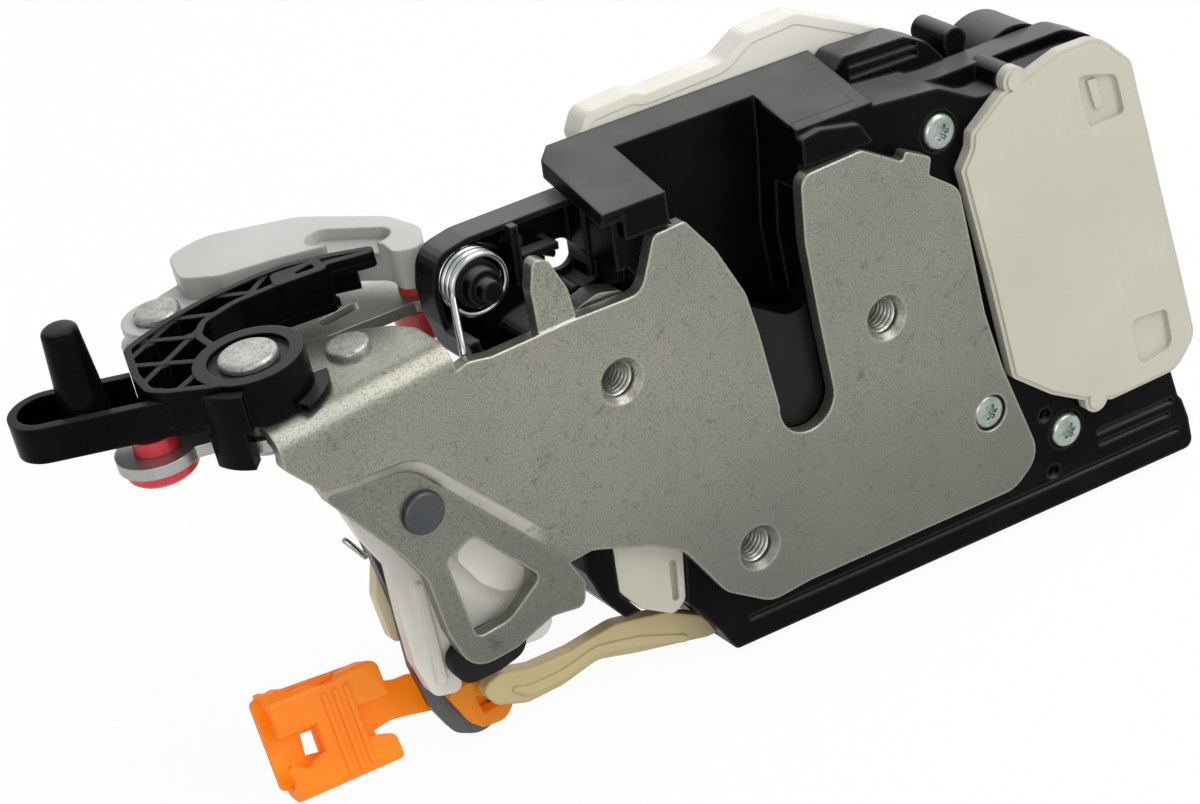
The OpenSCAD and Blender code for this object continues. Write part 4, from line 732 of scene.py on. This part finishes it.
def cut_lever(web):
    """A copy of the CAD's lever with a thin arm tip and nothing on its web but the hub and the block."""
    node = frame["nodes"]["outside_lever"]
    bm = bmesh.new()
    bm.from_mesh(node.data)
    bm.transform(node.matrix_world)
    bmesh.ops.remove_doubles(bm, verts=bm.verts, dist=WELD * MM)
    under_arm = solid([Vector(p) for p in ARM_TIP], -PAST, ARM_LOW)
    lever = add_object("solid", cut_away(as_object(bm), [under_arm]))
    over = LEVER_TOP + PAST
    kept = [solid(line, 0, over + PAST) for line in (circle(LEVER_PIVOT, HUB_R), rounded(LEVER_BLOCK))]
    above_web = add_object("solid", cut_away(solid(inset(web, -SMALL_OVERLAP), WEB_TOP, over), kept))
    return cut_away(lever, [above_web])


def rim_low(p):
    """The rim stands on the web, and on nothing along the arm's thin tip."""
    return ARM_LOW if p.x > ARM_RIM_START else WEB_TOP - OVERLAP


def lever_rim(web, pocket):
    ring = solid(inset(web, RIM_INSET), rim_low, LEVER_TOP - RIM_DROP, pocket)
    hub = solid(circle(LEVER_PIVOT, HUB_R - SMALL_OVERLAP), -PAST, LEVER_TOP + PAST)
    return cut_away(ring, [hub])


def add_arm_floor(bm, web):
    """The floor between the rims of the arm's tip."""
    tip = [p for p in inset(web, OVERLAP) if p.x > ARM_FLOOR_START]
    prism(bm, tip, ARM_LOW, ARM_LOW + ARM_FLOOR_T)


def add_ribs(bm, pocket):
    """Ribs that run on into the walls round the web, and discs where they meet."""
    walls = [pocket, circle(LEVER_PIVOT, HUB_R), rounded(LEVER_BLOCK)]
    for k, (a, b) in enumerate(RIBS):
        a, b = Vector(a), Vector(b)
        middle, way = (a + b) / 2, (b - a).normalized()
        side = Vector((way.y, -way.x)) * RIB_HALF_T
        ends = []
        for sense in (-1, 1):
            reach = min(crossing(middle, sense * way, wall) for wall in walls)
            ends.append(middle + sense * way * (reach + RIB_RUN_ON))
        bar = [ends[0] + side, ends[0] - side, ends[1] - side, ends[1] + side]
        prism(bm, bar, WEB_TOP - OVERLAP, LEVER_TOP - RIB_DROP - STAGGER * k)
    for k, place in enumerate(RIB_NODES):
        disc = circle(place, RIB_NODE_R, RIB_NODE_SIDES)
        prism(bm, disc, WEB_TOP - OVERLAP, LEVER_TOP - RIB_NODE_DROP - STAGGER * k)


def release_lever():
    web = rounded(WEB)
    pocket = inset(web, RIM_T)
    me = cut_lever(web)
    bm = bmesh.new()
    bm.from_mesh(me)
    bm.from_mesh(lever_rim(web, pocket))
    add_arm_floor(bm, web)
    add_ribs(bm, pocket)
    bm.to_mesh(me)
    bm.free()
    if "custom_normal" in me.attributes:
        me.attributes.remove(me.attributes["custom_normal"])
    lever = add_object("release_lever_body", me)
    me.name = lever.name
    finish_piece(lever, "release_lever", "black_lever")
    me.set_sharp_from_angle(angle=SHARP_ANGLE)
    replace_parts(lever, "outside_lever")


release_lever()

# Stage, whose sizes and powers are in metres and watts
FLOOR_HALF, FLOOR_GAP = 6.0, 0.0004
FLOOR_COLOUR, FLOOR_WHITENESS = (0.9, 0.9, 0.9), 0.95
WHITE, SKY_STRENGTH = (1.0, 1.0, 1.0), 0.42


def white_for_camera(nt, shader, amount):
    """Camera, mirror and glass rays see the surface lifted towards white. It still keeps its shadow."""
    rays = nt.nodes.new("ShaderNodeLightPath").outputs
    seen = math_node(nt, "MAXIMUM", rays["Is Camera Ray"], rays["Is Glossy Ray"])
    seen = math_node(nt, "MAXIMUM", seen, rays["Is Transmission Ray"])
    white = nt.nodes.new("ShaderNodeEmission")
    white.inputs["Strength"].default_value = 1.0
    feed(nt, WHITE, white.inputs["Color"])
    return mix_shader(nt, math_node(nt, "MULTIPLY", seen, amount), shader, white.outputs[0])


def studio_floor():
    material, nt, out = node_tree("floor_white")
    matt = nt.nodes.new("ShaderNodeBsdfDiffuse")
    feed(nt, FLOOR_COLOUR, matt.inputs["Color"])
    feed(nt, white_for_camera(nt, matt.outputs[0], FLOOR_WHITENESS), out)
    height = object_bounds()[0].z - FLOOR_GAP
    corners = [(-1, -1), (1, -1), (1, 1), (-1, 1)]
    me = bpy.data.meshes.new("studio_floor")
    me.from_pydata([(x * FLOOR_HALF, y * FLOOR_HALF, height) for x, y in corners], [], [(0, 1, 2, 3)])
    me.materials.append(material)
    return add_object("studio_floor", me)


def studio_world():
    world = bpy.data.worlds.new("studio")
    bpy.context.scene.world = world
    world.use_nodes = True
    nt = world.node_tree
    nt.nodes.clear()
    out = nt.nodes.new("ShaderNodeOutputWorld")
    sky = nt.nodes.new("ShaderNodeBackground")
    sky.inputs["Strength"].default_value = SKY_STRENGTH
    feed(nt, WHITE, sky.inputs["Color"])
    feed(nt, white_for_camera(nt, sky.outputs[0], 1.0), out.inputs["Surface"])


def frame_of(x_axis, y_axis, z_axis, place):
    """The matrix of an object with these axes at this place."""
    return Matrix.Translation(place) @ Matrix((x_axis, y_axis, z_axis)).transposed().to_4x4()


LIGHT_TARGET = Vector((-0.01, 0.01, 0.01))


def soft_box(name, place, width, height, power, along=(0.0, 0.0, 1.0)):
    """A soft box that looks at the part, with its height along the given way."""
    lamp = bpy.data.lights.new(name, "AREA")
    lamp.shape = "RECTANGLE"
    lamp.size = width
    lamp.size_y = height
    lamp.energy = power
    away = (Vector(place) - LIGHT_TARGET).normalized()
    wide = Vector(along).cross(away).normalized()
    add_object(name, lamp).matrix_world = frame_of(wide, away.cross(wide), away, place)


# The camera's place and its axes were worked out from points of the plate in the photograph
CAMERA_PLACE = (-0.28895, -0.44756, 0.27101)
CAMERA_RIGHT, CAMERA_BACK = (0.8336, -0.538, -0.123), (-0.4376, -0.78, 0.4476)
CAMERA_LENS_MM, CAMERA_SENSOR_MM = 111.0, 36.0
CAMERA_NEAR, CAMERA_FAR = 0.05, 20.0


def photo_camera():
    data = bpy.data.cameras.new("photo_camera")
    data.sensor_fit = "HORIZONTAL"
    data.sensor_width = CAMERA_SENSOR_MM
    data.lens = CAMERA_LENS_MM
    data.clip_start = CAMERA_NEAR
    data.clip_end = CAMERA_FAR
    right = Vector(CAMERA_RIGHT).normalized()
    back = Vector(CAMERA_BACK)
    back = (back - right * back.dot(right)).normalized()
    camera = add_object("photo_camera", data)
    camera.matrix_world = frame_of(right, back.cross(right), back, CAMERA_PLACE)
    bpy.context.scene.camera = camera


studio_floor()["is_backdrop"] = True
studio_world()
soft_box("key", place=(0.38, -0.44, 0.8), width=0.7, height=1.3, power=9.0, along=(0.0, 0.87, 0.5))
soft_box("top_back", place=(0.43, 0.79, 0.47), width=0.6, height=0.6, power=1.5)
soft_box("fill_left", place=(-0.6, -0.85, 0.14), width=0.6, height=0.6, power=2.6)
photo_camera()
bpy.context.scene.view_settings.view_transform = "Standard"
